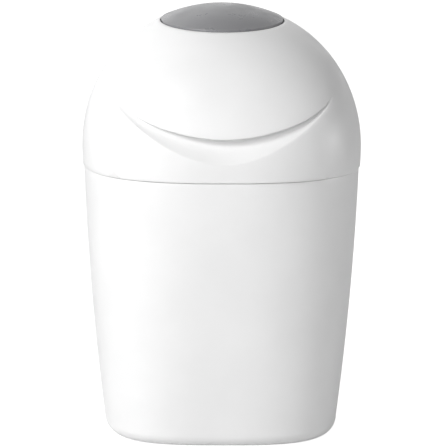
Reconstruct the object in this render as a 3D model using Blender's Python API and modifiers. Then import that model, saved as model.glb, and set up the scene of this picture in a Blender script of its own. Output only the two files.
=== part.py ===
"""Nappy bin with a domed lid: a tapered tub, a lift-out head that holds a twist ring and a film
cassette, and a lid with a press-down plunger under its round top button.

Metres, +Z up, front towards -Y. The origin is on the floor, on the tub's upright axis.
"""

import math

import bmesh
import bpy
from mathutils import Matrix, Vector

# Clearances
seat_gap = 0.0003
slide_gap = 0.0006
turn_gap = 0.001
cut_overrun = 0.004
weld_distance = 0.00001

# Tub: a rounded square that grows squarer and narrower towards the foot
tub_height = 0.262
tub_rim_half_width = 0.1342
tub_foot_half_width = 0.1122
tub_side_bulge = 0.0031
tub_wall = 0.0025
tub_foot_fillet = 0.0135
tub_foot_ring_width = 0.016
tub_foot_recess = 0.003
rim_squareness = 2.6
foot_squareness = 3.2

# Lid shell: a short skirt under a dome that is round at its top
seam_gap = 0.0005
lid_overhang = 0.0013
lid_skirt_flare = 0.0005
lid_skirt_height = 0.0181
lid_wall = 0.0024

# Grip: a crescent scoop under a curved lip on the lid's front
grip_lip_height = 0.0241
grip_lip_rise = 0.0365
grip_lip_drop = 0.0009
grip_scoop_height = 0.0243
grip_scoop_depth = 0.011
grip_crease_height = 0.002
grip_back_spread = 0.02
grip_half_angle = math.radians(56)
grip_lip_bend = 1.68
grip_height_fade = 2.4
grip_depth_fade = 1.5
grip_floor_curve = 1.12
grip_ledge_share = 0.6
grip_deepest_share = 0.2
scoop_outside_shares = (1, 0.6, 0.2, 0.08, 0)
scoop_inside_shares = (1, 0.6, 0.2, 0)

# Top button, on a line that leans forward from the dome's centre
plunger_lean = math.radians(4)
button_share = 0.4426
button_gap = 0.0008
button_dome_height = 0.0134
button_proud = 0.0011
button_wall = 0.0024
button_skirt = 0.017
button_edge_radius = 0.0012
button_boss_radius = 0.0115
button_boss_length = 0.018
button_socket_depth = 0.012
button_top_shares = (0, 0.35, 0.65, 0.87)

# Plunger well: the tube under the button, with a bush for the stem
well_wall = 0.0022
well_floor = 0.003
bush_wall = 0.0034
bush_below = 0.006
bush_above = 0.017
well_lug_reach = 0.0155
well_lug_width = 0.013
well_lug_thickness = 0.003
well_lug_drop = 0.0315

# Plunger stem and presser plate
stem_radius = 0.012
spigot_radius = 0.008
presser_rest_gap = 0.0153
presser_gap = 0.008
presser_thickness = 0.0026
presser_dish = 0.005
presser_height = 0.0195
presser_hub_radius = 0.0148
presser_flat_radius = 0.018
presser_rib_height = 0.007
presser_rib_thickness = 0.002
presser_rib_count = 6

# Plunger spring and the rib that centres its top
spring_radius = 0.0182
spring_wire_radius = 0.0009
spring_turns = 5
spring_rib_wall = 0.0018
spring_rib_height = 0.004

# Screws, all of one pattern
screw_head_radius = 0.004
screw_head_height = 0.0024
screw_shank_radius = 0.0017
screw_length = 0.012
screw_hole_radius = 0.0021
screw_boss_radius = 0.0045
screws_per_ring = 4

# Lid liner: the bowl that closes the dome from below
liner_wall = 0.0022
liner_flange_gap = 0.001
liner_flange_rise = 0.004
liner_step = 0.0092
liner_corner_radius = 0.022
liner_ceiling_gap = 0.0016
liner_foot_height = 0.0011
liner_screw_inset = 0.0064

# Head housing: the moulding that drops into the tub's mouth
flange_thickness = 0.0025
flange_setback = 0.0017
deck_width = 0.0252
skirt_depth = 0.014
skirt_gap = 0.0012
head_wall = 0.0024
head_well_depth = 0.0285
throat_depth = 0.030
throat_ledge = 0.005
hook_width = 0.012
hook_thickness = 0.003
hook_bite = 0.0014
hook_count = 3

# Hinge at the back: three knuckles on the head, two on the lid, one pin
hinge_axis_rise = 0.002
hinge_axis_reach = 0.0036
knuckle_radius = 0.0032
knuckle_gap = 0.0006
hinge_half_span = 0.044
outer_knuckle_length = 0.014
middle_knuckle_length = 0.014
knuckle_web_reach = 0.008
hinge_pin_radius = 0.0014
hinge_notch_gap = 0.0009
hinge_lug_height = 0.009
hinge_lug_angle = math.radians(20)

# Seal on the head's deck, under the liner's foot
seal_width = 0.005
seal_edge_share = 0.25

# Twist ring: the cup that turns the cassette, with ratchet teeth and a scalloped grip
cup_floor = 0.0025
cup_wall = 0.0025
cup_hole_margin = 0.0065
tooth_count = 24
tooth_depth = 0.0035
tooth_root_step = 0.001
tooth_height = 0.0065
tooth_ramp_share = 0.8
grip_ring_gap = 0.0012
grip_ring_height = 0.0095
grip_ring_width = 0.008
grip_scallop_depth = 0.0018
grip_scallop_count = 12
drive_peg_radius = 0.0025
drive_peg_height = 0.003
drive_peg_count = 4

# Click spring: a leaf whose nose drops between the ratchet teeth
click_spring_room = 0.0055
click_leaf_thickness = 0.0008
click_leaf_height = 0.005
click_leaf_angle = math.radians(24)
click_clamp_angle = math.radians(6)
click_nose_angle = math.radians(1.2)
click_post_thickness = 0.002
click_leaf_steps = 5

# Film cassette
cassette_bore_share = 0.4173
cassette_wall = 0.002
cassette_height = 0.044
cassette_slot = 0.0034
cassette_cap_thickness = 0.002
cassette_cap_skirt = 0.004
cassette_tube_rise = 0.002
film_pleats = 4
film_pleat_depth = 0.003
film_margin = 0.0022

# Gripper ring: soft fingers that hold the wrapped nappy
gripper_thickness = 0.0016
gripper_rim_width = 0.005
gripper_rim_height = 0.004
gripper_opening_radius = 0.028
gripper_finger_drop = 0.012
gripper_slot_width = 0.004
gripper_finger_count = 8

# Film cutter: a sprung slide in the front of the head's throat
cutter_level = 0.013
cutter_bar_width = 0.016
cutter_bar_height = 0.0045
cutter_travel = 0.012
cutter_guide_wall = 0.0022
cutter_guide_length = 0.018
cutter_button_radius = 0.0125
cutter_button_thickness = 0.003
cutter_stop_width = 0.0018
cutter_stop_length = 0.002
cutter_blade_thickness = 0.0008
cutter_blade_length = 0.016
cutter_blade_setback = 0.0015
cutter_blade_slant = 0.006
cutter_spring_radius = 0.0104
cutter_spring_wire_radius = 0.0004
cutter_spring_turns = 2

# Facets
shell_columns = 48
inner_columns = 32
round_columns = 24
small_columns = 16
film_columns = 12
screw_columns = 8
fillet_steps = 3
spring_points_per_turn = 8
filling_rows = 10
sharp_angle = math.radians(35)

# Radii that are shares of the rim's half width
button_radius = button_share * tub_rim_half_width
cassette_bore = cassette_bore_share * tub_rim_half_width
presser_radius = cassette_bore - presser_gap

# Sizes of the outside that follow from those above
lid_edge_height = tub_height + seam_gap
lid_edge_half_width = tub_rim_half_width + lid_overhang
dome_radius = lid_edge_half_width + lid_skirt_flare
dome_centre_height = lid_edge_height + lid_skirt_height
opening_radius = button_radius + button_gap
opening_rise = math.sqrt(dome_radius**2 - opening_radius**2)
opening_height = dome_centre_height + opening_rise
hinge_axis = Vector((0, tub_rim_half_width + hinge_axis_reach, tub_height + hinge_axis_rise))

# Radii of the head, from the flange inwards
flange_half_width = tub_rim_half_width - flange_setback
head_well_radius = flange_half_width - deck_width
tooth_tip_radius = head_well_radius - click_spring_room
tooth_root_radius = tooth_tip_radius - tooth_depth
cup_outer_radius = tooth_root_radius - tooth_root_step
cup_radius = cup_outer_radius - cup_wall
cassette_radius = cup_radius - turn_gap
cassette_tube_radius = cassette_bore + cassette_wall
cup_hole_radius = cassette_bore + cup_hole_margin
collar_radius = cup_hole_radius - turn_gap
throat_radius = collar_radius - head_wall
drive_peg_circle = (cup_hole_radius + cassette_radius) / 2
liner_bowl_radius = head_well_radius + liner_step

# Heights, from the tub's rim down to the throat
deck_bottom = tub_height + seat_gap
deck_top = deck_bottom + flange_thickness
head_floor_top = deck_top - head_well_depth
head_floor_bottom = head_floor_top - head_wall
throat_bottom = head_floor_bottom - throat_depth
cutter_height = head_floor_bottom - cutter_level

# Heights, from the head's floor up to the plunger's bush
cup_bottom = head_floor_top + seat_gap
cup_floor_top = cup_bottom + cup_floor
tooth_top = cup_bottom + tooth_height
grip_ring_bottom = deck_top + grip_ring_gap
grip_ring_top = grip_ring_bottom + grip_ring_height
cassette_bottom = cup_floor_top + seat_gap
cassette_floor_top = cassette_bottom + cassette_wall
cassette_wall_top = cassette_bottom + cassette_height
cassette_cap_bottom = cassette_wall_top + seat_gap
cassette_cap_top = cassette_cap_bottom + cassette_cap_thickness
cassette_top = cassette_cap_top + cassette_tube_rise
presser_bottom = cassette_top + presser_rest_gap
presser_top = presser_bottom + presser_height
presser_hub_floor = presser_bottom + screw_head_height + presser_thickness
bush_bottom = presser_top + seat_gap
well_floor_bottom = bush_bottom + bush_below
well_floor_top = well_floor_bottom + well_floor

# The well, its bush and the liner round them
well_radius = opening_radius + seat_gap
well_outer_radius = well_radius + well_wall
well_top = dome_centre_height + math.sqrt((dome_radius - lid_wall) ** 2 - well_outer_radius**2) - seat_gap
well_lug_top = well_top - well_lug_drop
well_lug_bottom = well_lug_top - well_lug_thickness
well_screw_radius = well_outer_radius + well_lug_reach - screw_boss_radius - slide_gap
bush_radius = stem_radius + slide_gap
bush_outer_radius = bush_radius + bush_wall
liner_flange_bottom = deck_top + liner_flange_rise
liner_flange_top = liner_flange_bottom + liner_wall
liner_foot_bottom = liner_flange_bottom - liner_foot_height
liner_foot_radius = liner_bowl_radius + liner_wall + liner_foot_height
liner_ceiling_top = well_floor_bottom - well_outer_radius * math.sin(plunger_lean) - liner_ceiling_gap
liner_ceiling = liner_ceiling_top - liner_wall

# The button, measured from its rim
button_rim_height = opening_height + button_proud
button_skirt_bottom = button_rim_height - button_skirt
button_inner_radius = button_radius - button_wall
button_sphere = (button_radius**2 + button_dome_height**2) / (2 * button_dome_height)
button_sphere_height = button_rim_height + button_dome_height - button_sphere
button_boss_bottom = button_rim_height + button_dome_height - button_wall - button_boss_length
spring_rib_radius = spring_radius + spring_wire_radius + 2 * slide_gap
spring_rib_outer_radius = spring_rib_radius + spring_rib_wall

# Every piece of the plunger's line is built upright, then leant about the dome's centre
dome_centre = Matrix.Translation((0, 0, dome_centre_height))
lean = dome_centre @ Matrix.Rotation(plunger_lean, 4, "X") @ dome_centre.inverted()


# The scene, its collections, materials and the joints' empties

for old in list(bpy.data.objects):
    bpy.data.objects.remove(old, do_unlink=True)

bin_collection = bpy.data.collections.new("nappy_bin")
cutter_collection = bpy.data.collections.new("cutters")
for collection in (bin_collection, cutter_collection):
    bpy.context.scene.collection.children.link(collection)


def material(name, colour, roughness, metallic=0):
    made = bpy.data.materials.new(name)
    made.use_nodes = True
    shader = made.node_tree.nodes["Principled BSDF"]
    shader.inputs["Base Color"].default_value = (*colour, 1)
    shader.inputs["Roughness"].default_value = roughness
    shader.inputs["Metallic"].default_value = metallic
    return made


def joint_empty(name, location):
    empty = bpy.data.objects.new(name, None)
    empty.location = location
    bin_collection.objects.link(empty)
    return empty


head_seat = joint_empty("head_seat", (0, 0, tub_height))
lid_pivot = joint_empty("lid_pivot", hinge_axis)
twist_axis = joint_empty("twist_axis", (0, 0, cup_bottom))
cassette_seat = joint_empty("cassette_seat", (0, 0, cassette_bottom))
cutter_axis = joint_empty("cutter_axis", (0, -throat_radius, cutter_height))
plunger_axis = joint_empty("plunger_axis", (0, 0, bush_bottom))
plunger_axis.matrix_basis = lean @ Matrix.Translation((0, 0, bush_bottom))
bpy.context.view_layer.update()


def place(obj, shade, parent=None, leant=False):
    """Adds a finished piece to the bin, in its material and under its joint's empty."""
    bin_collection.objects.link(obj)
    obj.data.materials.append(material(obj.name, *shade))
    if leant:
        obj.matrix_basis = lean @ obj.matrix_basis
        for tool in [modifier.object for modifier in obj.modifiers]:
            tool.matrix_basis = lean @ tool.matrix_basis
    if parent:
        obj.parent = parent
        obj.matrix_parent_inverse = parent.matrix_world.inverted()
    return obj


white_plastic = ((0.87, 0.87, 0.87), 0.32)
inner_plastic = ((0.80, 0.81, 0.82), 0.40)
grey_plastic = ((0.24, 0.24, 0.25), 0.38)
soft_plastic = ((0.42, 0.44, 0.46), 0.65)
cassette_plastic = ((0.62, 0.72, 0.60), 0.45)
film_plastic = ((0.82, 0.86, 0.80), 0.30)
steel = ((0.60, 0.60, 0.61), 0.25, 1)


# Shapes


def boolean(obj, tool, operation, leant=False):
    """Adds a Boolean with a second shape, which stays out of the part."""
    cutter_collection.objects.link(tool)
    tool.hide_render = True
    tool.display_type = "WIRE"
    if leant:
        tool.matrix_basis = lean @ tool.matrix_basis
    modifier = obj.modifiers.new(tool.name, "BOOLEAN")
    modifier.operation = operation
    modifier.object = tool


def mesh_object(name, shape):
    """An object from a bmesh, with round faces smooth and corners sharp."""
    mesh = bpy.data.meshes.new(name)
    shape.to_mesh(mesh)
    shape.free()
    mesh.shade_smooth()
    mesh.set_sharp_from_angle(angle=sharp_angle)
    return bpy.data.objects.new(name, mesh)


def worked_out(source):
    """A mesh object from a curve or a modified mesh, which it replaces."""
    cutter_collection.objects.link(source)
    name = source.name
    seen = source.evaluated_get(bpy.context.evaluated_depsgraph_get())
    mesh = bpy.data.meshes.new_from_object(seen)
    shape = bmesh.new()
    shape.from_mesh(mesh)
    bmesh.ops.remove_doubles(shape, verts=shape.verts, dist=weld_distance)
    bmesh.ops.transform(shape, matrix=source.matrix_world, verts=shape.verts)
    bpy.data.objects.remove(source)
    bpy.data.meshes.remove(mesh)
    return mesh_object(name, shape)


def turned(name, profile, columns):
    """A closed outline of (radius, height), run from its top down its outer side, turned about Z."""
    count = len(profile)
    sides = count - 1 if profile[0][0] == 0 else count
    mesh = bpy.data.meshes.new(name)
    mesh.from_pydata(
        [(radius, 0, height) for radius, height in profile],
        [(i, (i + 1) % count) for i in range(sides)],
        [],
    )
    outline = bpy.data.objects.new(name, mesh)
    screw = outline.modifiers.new("turn", "SCREW")
    screw.steps = columns
    screw.render_steps = columns
    screw.use_merge_vertices = True
    screw.merge_threshold = weld_distance
    return worked_out(outline)


def extruded(name, outline, depth, placement):
    """A flat outline with depth on both sides of its plane, put in place by a matrix."""
    curve = bpy.data.curves.new(name, "CURVE")
    curve.dimensions = "2D"
    curve.fill_mode = "BOTH"
    curve.extrude = depth / 2
    spline = curve.splines.new("POLY")
    spline.points.add(len(outline) - 1)
    for point, (across, up) in zip(spline.points, outline):
        point.co = (across, up, 0, 1)
    spline.use_cyclic_u = True
    flat = bpy.data.objects.new(name, curve)
    flat.matrix_basis = placement
    return worked_out(flat)


def loft(name, rings, capped=False):
    """Joins rings of the same count; without caps the last ring meets the first, as round a shell."""
    shape = bmesh.new()
    rows = [[shape.verts.new(point) for point in ring] for ring in rings]
    pairs = list(zip(rows, rows[1:]))
    if capped:
        shape.faces.new(rows[0])
        shape.faces.new(rows[-1])
    else:
        pairs.append((rows[-1], rows[0]))
    for lower, upper in pairs:
        for i, corner in enumerate(lower):
            j = (i + 1) % len(lower)
            shape.faces.new((corner, lower[j], upper[j], upper[i]))
    bmesh.ops.recalc_face_normals(shape, faces=shape.faces)
    return mesh_object(name, shape)


def block(name, low, high):
    """A box between two corners."""
    low, high = Vector(low), Vector(high)
    size = Matrix.Diagonal((*(high - low), 1))
    shape = bmesh.new()
    bmesh.ops.create_cube(shape, size=1, matrix=Matrix.Translation((low + high) / 2) @ size)
    return mesh_object(name, shape)


def blocks_round(name, count, first_angle, near, far, width, bottom, top):
    """Radial boxes from one radius to another, spaced round the axis."""
    shape = bmesh.new()
    size = Matrix.Diagonal((width, far - near, top - bottom, 1))
    middle = Matrix.Translation((0, -(near + far) / 2, (bottom + top) / 2))
    for i in range(count):
        turn = Matrix.Rotation(first_angle + 2 * math.pi * i / count, 4, "Z")
        bmesh.ops.create_cube(shape, size=1, matrix=turn @ middle @ size)
    return mesh_object(name, shape)


def rods(name, radius, spans, columns):
    """Cylinders, each between two points."""
    shape = bmesh.new()
    for start, end in spans:
        along = Vector(end) - Vector(start)
        turn = along.to_track_quat("Z", "Y").to_matrix().to_4x4()
        middle = Matrix.Translation((Vector(start) + Vector(end)) / 2)
        bmesh.ops.create_cone(
            shape,
            cap_ends=True,
            segments=columns,
            radius1=radius,
            radius2=radius,
            depth=along.length,
            matrix=middle @ turn,
        )
    return mesh_object(name, shape)


def coil(name, radius, wire_radius, turns, start, end):
    """A compression spring that just fits between two points."""
    curve = bpy.data.curves.new(name, "CURVE")
    curve.dimensions = "3D"
    curve.bevel_depth = wire_radius
    curve.bevel_resolution = 1
    curve.use_fill_caps = True
    spline = curve.splines.new("POLY")
    steps = turns * spring_points_per_turn
    spline.points.add(steps)
    along = Vector(end) - Vector(start)
    turn = along.to_track_quat("Z", "Y").to_matrix()
    rise = along.length - 2 * wire_radius
    for i, point in enumerate(spline.points):
        angle = 2 * math.pi * i / spring_points_per_turn
        local = Vector((radius * math.cos(angle), radius * math.sin(angle), wire_radius + rise * i / steps))
        point.co = (*(Vector(start) + turn @ local), 1)
    print(f"{name}: least gap between its curls {(rise / turns - 2 * wire_radius) * 1000:.2f} mm")
    return bpy.data.objects.new(name, curve)


def at_angle(angle, radius, height=0):
    """A point at an angle from the front, turning towards +X."""
    return Vector((radius * math.sin(angle), -radius * math.cos(angle), height))


def even_angles(columns):
    return [2 * math.pi * i / columns for i in range(columns)]


def square_reach(angle, half_width, squareness):
    """How far a rounded square reaches at an angle; a squareness of 2 makes it a circle."""
    across, along = abs(math.sin(angle)), abs(math.cos(angle))
    return half_width / (across**squareness + along**squareness) ** (1 / squareness)


def square_ring(half_width, squareness, height, columns=inner_columns):
    return [at_angle(a, square_reach(a, half_width, squareness), height) for a in even_angles(columns)]


def round_ring(radius, height, columns=inner_columns):
    return [at_angle(a, radius, height) for a in even_angles(columns)]


def on_the_flats(radius, columns):
    """The radius at the middle of a facet, where a faceted bore is tightest."""
    return radius * math.cos(math.pi / columns)


def upright(spot, bottom, top):
    return (Vector((spot.x, spot.y, bottom)), Vector((spot.x, spot.y, top)))


# Tub


def tub_half_width(height, inset=0):
    share = height / tub_height
    straight = tub_foot_half_width + (tub_rim_half_width - tub_foot_half_width) * share
    return straight + 4 * tub_side_bulge * share * (1 - share) - inset


def tub_ring(half_width, height):
    squareness = foot_squareness + (rim_squareness - foot_squareness) * height / tub_height
    return square_ring(half_width, squareness, height, shell_columns)


def tub_side(inset, bottom, fillet, rows):
    """Rings from the fillet at a floor's edge up to the rim, on the outer or the inner face."""
    rings = []
    start = bottom + fillet
    for i in range(fillet_steps + 1):
        turn = math.pi / 2 * i / fillet_steps
        half_width = tub_half_width(start, inset) - fillet * (1 - math.sin(turn))
        rings.append(tub_ring(half_width, start - fillet * math.cos(turn)))
    for i in range(1, rows + 1):
        height = start + (tub_height - start) * i / rows
        rings.append(tub_ring(tub_half_width(height, inset), height))
    return rings


def make_tub():
    recess = tub_half_width(tub_foot_fillet) - tub_foot_fillet - tub_foot_ring_width
    under = [tub_ring(recess - tub_foot_recess, tub_foot_recess), tub_ring(recess, 0)]
    outside = tub_side(0, 0, tub_foot_fillet, 5)
    inside = tub_side(tub_wall, tub_foot_recess + tub_wall, tub_foot_fillet - tub_wall, 3)
    place(loft("tub", under + outside + inside[::-1], capped=True), white_plastic)


# Lid shell


def dome_half_width(height, inset=0):
    radius = dome_radius - inset
    if height >= dome_centre_height:
        return math.sqrt(radius**2 - (height - dome_centre_height) ** 2)
    share = (dome_centre_height - height) / lid_skirt_height
    return radius - lid_skirt_flare * share**2


def dome_point(angle, height, inset=0, sunk=0):
    """A point of the lid's outer face, or of a face inset from it, or sunk below it."""
    rise = max(0, height - dome_centre_height)
    share = min(1, rise / math.sqrt((dome_radius - inset) ** 2 - opening_radius**2))
    squareness = 2 + (rim_squareness - 2) * (1 - share**2)
    reach = square_reach(angle, dome_half_width(height, inset), squareness)
    return at_angle(angle, reach - sunk, height)


def grip_share(angle):
    """How far from the front an angle is, as a share of the grip's half angle, at most 1."""
    return min(1, min(angle, 2 * math.pi - angle) / grip_half_angle)


def lip_height(angle):
    return dome_centre_height + grip_lip_height + grip_lip_rise * grip_share(angle) ** grip_lip_bend


def scoop_bottom(angle):
    """The scoop's lower edge; past the grip's ends its rows spread over the plain dome."""
    faded = grip_scoop_height * (1 - grip_share(angle) ** 2) ** grip_height_fade
    past = max(0, min(angle, 2 * math.pi - angle) / grip_half_angle - 1)
    return lip_height(angle) - math.hypot(faded, grip_crease_height + grip_back_spread * past)


def scoop_depth(angle, share):
    """The scoop's depth at a share of the way down from the lip."""
    deepest = grip_scoop_depth * (1 - grip_share(angle) ** 2) ** grip_depth_fade
    if share < grip_deepest_share:
        return deepest * (grip_ledge_share + (1 - grip_ledge_share) * share / grip_deepest_share)
    below = (share - grip_deepest_share) / (1 - grip_deepest_share)
    return deepest * (1 - below) ** grip_floor_curve


def lid_face(inset, skirt_rows, scoop_shares, dome_rows):
    """Rings from the lid's edge to its opening that bend with the lip, which stands a wall higher inside."""
    angles = even_angles(shell_columns)
    rings = []
    for i in range(skirt_rows):
        share = i / skirt_rows
        heights = [lid_edge_height + (scoop_bottom(a) - lid_edge_height) * share for a in angles]
        rings.append([dome_point(a, height, inset) for a, height in zip(angles, heights)])
    for share in scoop_shares:
        tops = [lip_height(a) - grip_lip_drop + inset for a in angles]
        heights = [top + (scoop_bottom(a) - top) * share for a, top in zip(angles, tops)]
        rings.append([dome_point(a, h, inset, scoop_depth(a, share)) for a, h in zip(angles, heights)])
    radius = dome_radius - inset
    end = math.acos(opening_radius / radius)
    for i in range(dome_rows + 1):
        share = i / dome_rows
        starts = [math.asin((lip_height(a) + inset - dome_centre_height) / radius) for a in angles]
        rises = [radius * math.sin(start + (end - start) * share) for start in starts]
        turn = dome_centre @ Matrix.Rotation(plunger_lean * share, 4, "X") @ dome_centre.inverted()
        heights = [dome_centre_height + rise for rise in rises]
        rings.append([turn @ dome_point(a, height, inset) for a, height in zip(angles, heights)])
    return rings


def dome_filling():
    """The lid's inside up to the middle of its wall, which trims the bosses where they join it."""
    inset = lid_wall / 2
    rings = []
    for i in range(filling_rows):
        height = lid_edge_height + (well_top - lid_edge_height) * i / (filling_rows - 1)
        rings.append([dome_point(a, height, inset) for a in even_angles(shell_columns)])
    return loft("dome_filling", rings, capped=True)


def ring_spots(radius):
    """Where the four screws of a ring stand, towards the rounded square's corners."""
    return [at_angle(math.pi / 4 + 2 * math.pi * i / screws_per_ring, radius) for i in range(screws_per_ring)]


def liner_flange_half_width():
    return dome_half_width(liner_flange_bottom, lid_wall) - liner_flange_gap


def liner_screw_spots():
    corner = square_reach(math.pi / 4, liner_flange_half_width(), rim_squareness)
    return ring_spots(corner - liner_screw_inset)


def knuckle_outline(from_angle, to_angle, web):
    """A barrel's arc in the (Y, Z) plane about the hinge's axis, closed by the points of its web."""
    steps = small_columns
    turns = [from_angle + (to_angle - from_angle) * i / steps for i in range(steps + 1)]
    arc = [
        (hinge_axis.y + knuckle_radius * math.cos(turn), hinge_axis.z + knuckle_radius * math.sin(turn))
        for turn in turns
    ]
    return arc + web


def join_knuckles(obj, name, outline, spans):
    """Adds barrels with their webs, then bores them for the pin."""
    across = Matrix(((0, 0, 1, 0), (1, 0, 0, 0), (0, 1, 0, 0), (0, 0, 0, 1)))
    for index, (low, high) in enumerate(spans):
        spot = Matrix.Translation(((low + high) / 2, 0, 0))
        boolean(obj, extruded(f"{name}_{index + 1}", outline, high - low, spot @ across), "UNION")
    reach = Vector((hinge_half_span + cut_overrun, 0, 0))
    span = [(hinge_axis - reach, hinge_axis + reach)]
    bore = rods(f"{name}_bore", hinge_pin_radius + seat_gap, span, small_columns)
    boolean(obj, bore, "DIFFERENCE")


def cut_lid_notch(lid):
    half = hinge_half_span + 2 * knuckle_gap
    back = lid_edge_half_width
    notch = block(
        "hinge_notch",
        (-half, back - lid_wall - cut_overrun, lid_edge_height - cut_overrun),
        (half, back + cut_overrun, hinge_axis.z + knuckle_radius + hinge_notch_gap),
    )
    boolean(lid, notch, "DIFFERENCE")


def join_lid_knuckles(lid):
    inner = middle_knuckle_length / 2 + knuckle_gap
    outer = hinge_half_span - outer_knuckle_length - knuckle_gap
    top = hinge_axis.z + knuckle_radius + hinge_lug_height
    web = [(lid_edge_half_width, top), (lid_edge_half_width - lid_wall / 2, top)]
    outline = knuckle_outline(-math.pi, hinge_lug_angle, web)
    join_knuckles(lid, "lid_knuckle", outline, [(-outer, -inner), (inner, outer)])


def join_lid_bosses(lid):
    filling = dome_filling()
    for name, base, spots, leant in (
        ("liner_boss", liner_flange_top, liner_screw_spots(), False),
        ("well_boss", well_lug_top, ring_spots(well_screw_radius), True),
    ):
        spans = [upright(spot, base + seat_gap, opening_height) for spot in spots]
        bosses = rods(name, screw_boss_radius, spans, screw_columns)
        trim = bosses.modifiers.new("trim", "BOOLEAN")
        trim.operation = "INTERSECT"
        trim.object = filling
        boolean(lid, bosses, "UNION", leant)
        holes = [upright(spot, base - cut_overrun, base + screw_length + slide_gap) for spot in spots]
        boolean(lid, rods(f"{name}_hole", screw_hole_radius, holes, screw_columns), "DIFFERENCE", leant)
    cutter_collection.objects.link(filling)
    filling.hide_render = True
    filling.display_type = "WIRE"


def make_lid_shell():
    outside = lid_face(0, 4, scoop_outside_shares, 6)
    inside = lid_face(lid_wall, 3, scoop_inside_shares, 5)
    lid = loft("lid_shell", outside + inside[::-1])
    cut_lid_notch(lid)
    join_lid_knuckles(lid)
    join_lid_bosses(lid)
    place(lid, white_plastic, lid_pivot)


# Lid liner


def make_lid_liner():
    flange = liner_flange_half_width()
    turn_centre = liner_bowl_radius - liner_corner_radius
    hole_radius = bush_outer_radius + slide_gap

    def corner(reach):
        turns = [math.pi / 2 * i / fillet_steps for i in range(fillet_steps + 1)]
        middle = liner_ceiling - liner_corner_radius
        return [round_ring(turn_centre + reach * math.cos(t), middle + reach * math.sin(t)) for t in turns]

    def hole(height):
        return [lean @ point for point in round_ring(hole_radius, height)]

    rings = [
        square_ring(flange, rim_squareness, liner_flange_bottom),
        round_ring(liner_foot_radius, liner_flange_bottom),
        round_ring(liner_foot_radius, liner_foot_bottom),
        round_ring(liner_bowl_radius, liner_foot_bottom),
        *corner(liner_corner_radius),
        hole(liner_ceiling),
        hole(liner_ceiling_top),
        *corner(liner_corner_radius + liner_wall)[::-1],
        round_ring(liner_bowl_radius + liner_wall, liner_flange_top),
        square_ring(flange, rim_squareness, liner_flange_top),
    ]
    liner = loft("lid_liner", rings)
    low, high = liner_flange_bottom - cut_overrun, liner_flange_top + cut_overrun
    spans = [upright(spot, low, high) for spot in liner_screw_spots()]
    boolean(liner, rods("liner_screw_holes", screw_hole_radius, spans, screw_columns), "DIFFERENCE")
    place(liner, inner_plastic, lid_pivot)


# Plunger well


def make_plunger_well():
    bush_top = well_floor_top + bush_above
    profile = [
        (well_radius, well_top),
        (well_outer_radius, well_top),
        (well_outer_radius, well_floor_bottom),
        (bush_outer_radius, well_floor_bottom),
        (bush_outer_radius, bush_bottom),
        (bush_radius, bush_bottom),
        (bush_radius, bush_top),
        (bush_outer_radius, bush_top),
        (bush_outer_radius, well_floor_top),
        (well_radius, well_floor_top),
    ]
    well = turned("plunger_well", profile, round_columns)
    near, far = well_radius + well_wall / 2, well_outer_radius + well_lug_reach
    quarter = math.pi / 4
    lugs = blocks_round(
        "well_lugs", screws_per_ring, quarter, near, far, well_lug_width, well_lug_bottom, well_lug_top
    )
    boolean(well, lugs, "UNION")
    spans = [
        upright(spot, well_lug_bottom - cut_overrun, well_lug_top + cut_overrun)
        for spot in ring_spots(well_screw_radius)
    ]
    boolean(well, rods("well_screw_holes", screw_hole_radius, spans, screw_columns), "DIFFERENCE")
    place(well, inner_plastic, lid_pivot, leant=True)


# Screws


def make_screw(name, spot, face, parent, leant=False):
    """A pan-head screw driven upwards, with its head just under a face."""
    head_top = face - seat_gap
    head_bottom = head_top - screw_head_height
    tip = head_top + screw_length
    profile = [
        (0, tip),
        (screw_shank_radius, tip - screw_shank_radius),
        (screw_shank_radius, head_top),
        (screw_head_radius, head_top),
        (screw_head_radius, head_bottom + screw_head_height / 2),
        (screw_head_radius / 2, head_bottom),
        (0, head_bottom),
    ]
    screw = turned(name, profile, screw_columns)
    screw.location = (spot.x, spot.y, 0)
    place(screw, steel, parent, leant)


def make_lid_screws():
    for index, spot in enumerate(liner_screw_spots()):
        make_screw(f"liner_screw_{index + 1}", spot, liner_flange_bottom, lid_pivot)
    for index, spot in enumerate(ring_spots(well_screw_radius)):
        make_screw(f"well_screw_{index + 1}", spot, well_lug_bottom, lid_pivot, leant=True)


# Plunger: button, stem, presser plate and return spring


def cap_height(radius, inset=0):
    """The height of the button's domed top at a radius, or of its underside."""
    return button_sphere_height + math.sqrt((button_sphere - inset) ** 2 - radius**2)


def make_top_button():
    flat = button_radius - button_edge_radius
    rib_top = cap_height(spring_rib_outer_radius, button_wall)
    socket_top = button_boss_bottom + button_socket_depth
    profile = [
        *[(flat * share, cap_height(flat * share)) for share in button_top_shares],
        (flat, cap_height(flat)),
        (button_radius, cap_height(flat) - button_edge_radius),
        (button_radius, button_skirt_bottom),
        (button_inner_radius, button_skirt_bottom),
        (button_inner_radius, cap_height(button_inner_radius, button_wall)),
        (spring_rib_outer_radius, rib_top),
        (spring_rib_outer_radius, rib_top - spring_rib_height),
        (spring_rib_radius, rib_top - spring_rib_height),
        (spring_rib_radius, rib_top),
        (button_boss_radius, rib_top),
        (button_boss_radius, button_boss_bottom),
        (spigot_radius + seat_gap, button_boss_bottom),
        (spigot_radius + seat_gap, socket_top),
        (0, socket_top),
    ]
    place(turned("top_button", profile, round_columns), grey_plastic, plunger_axis, leant=True)


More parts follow.
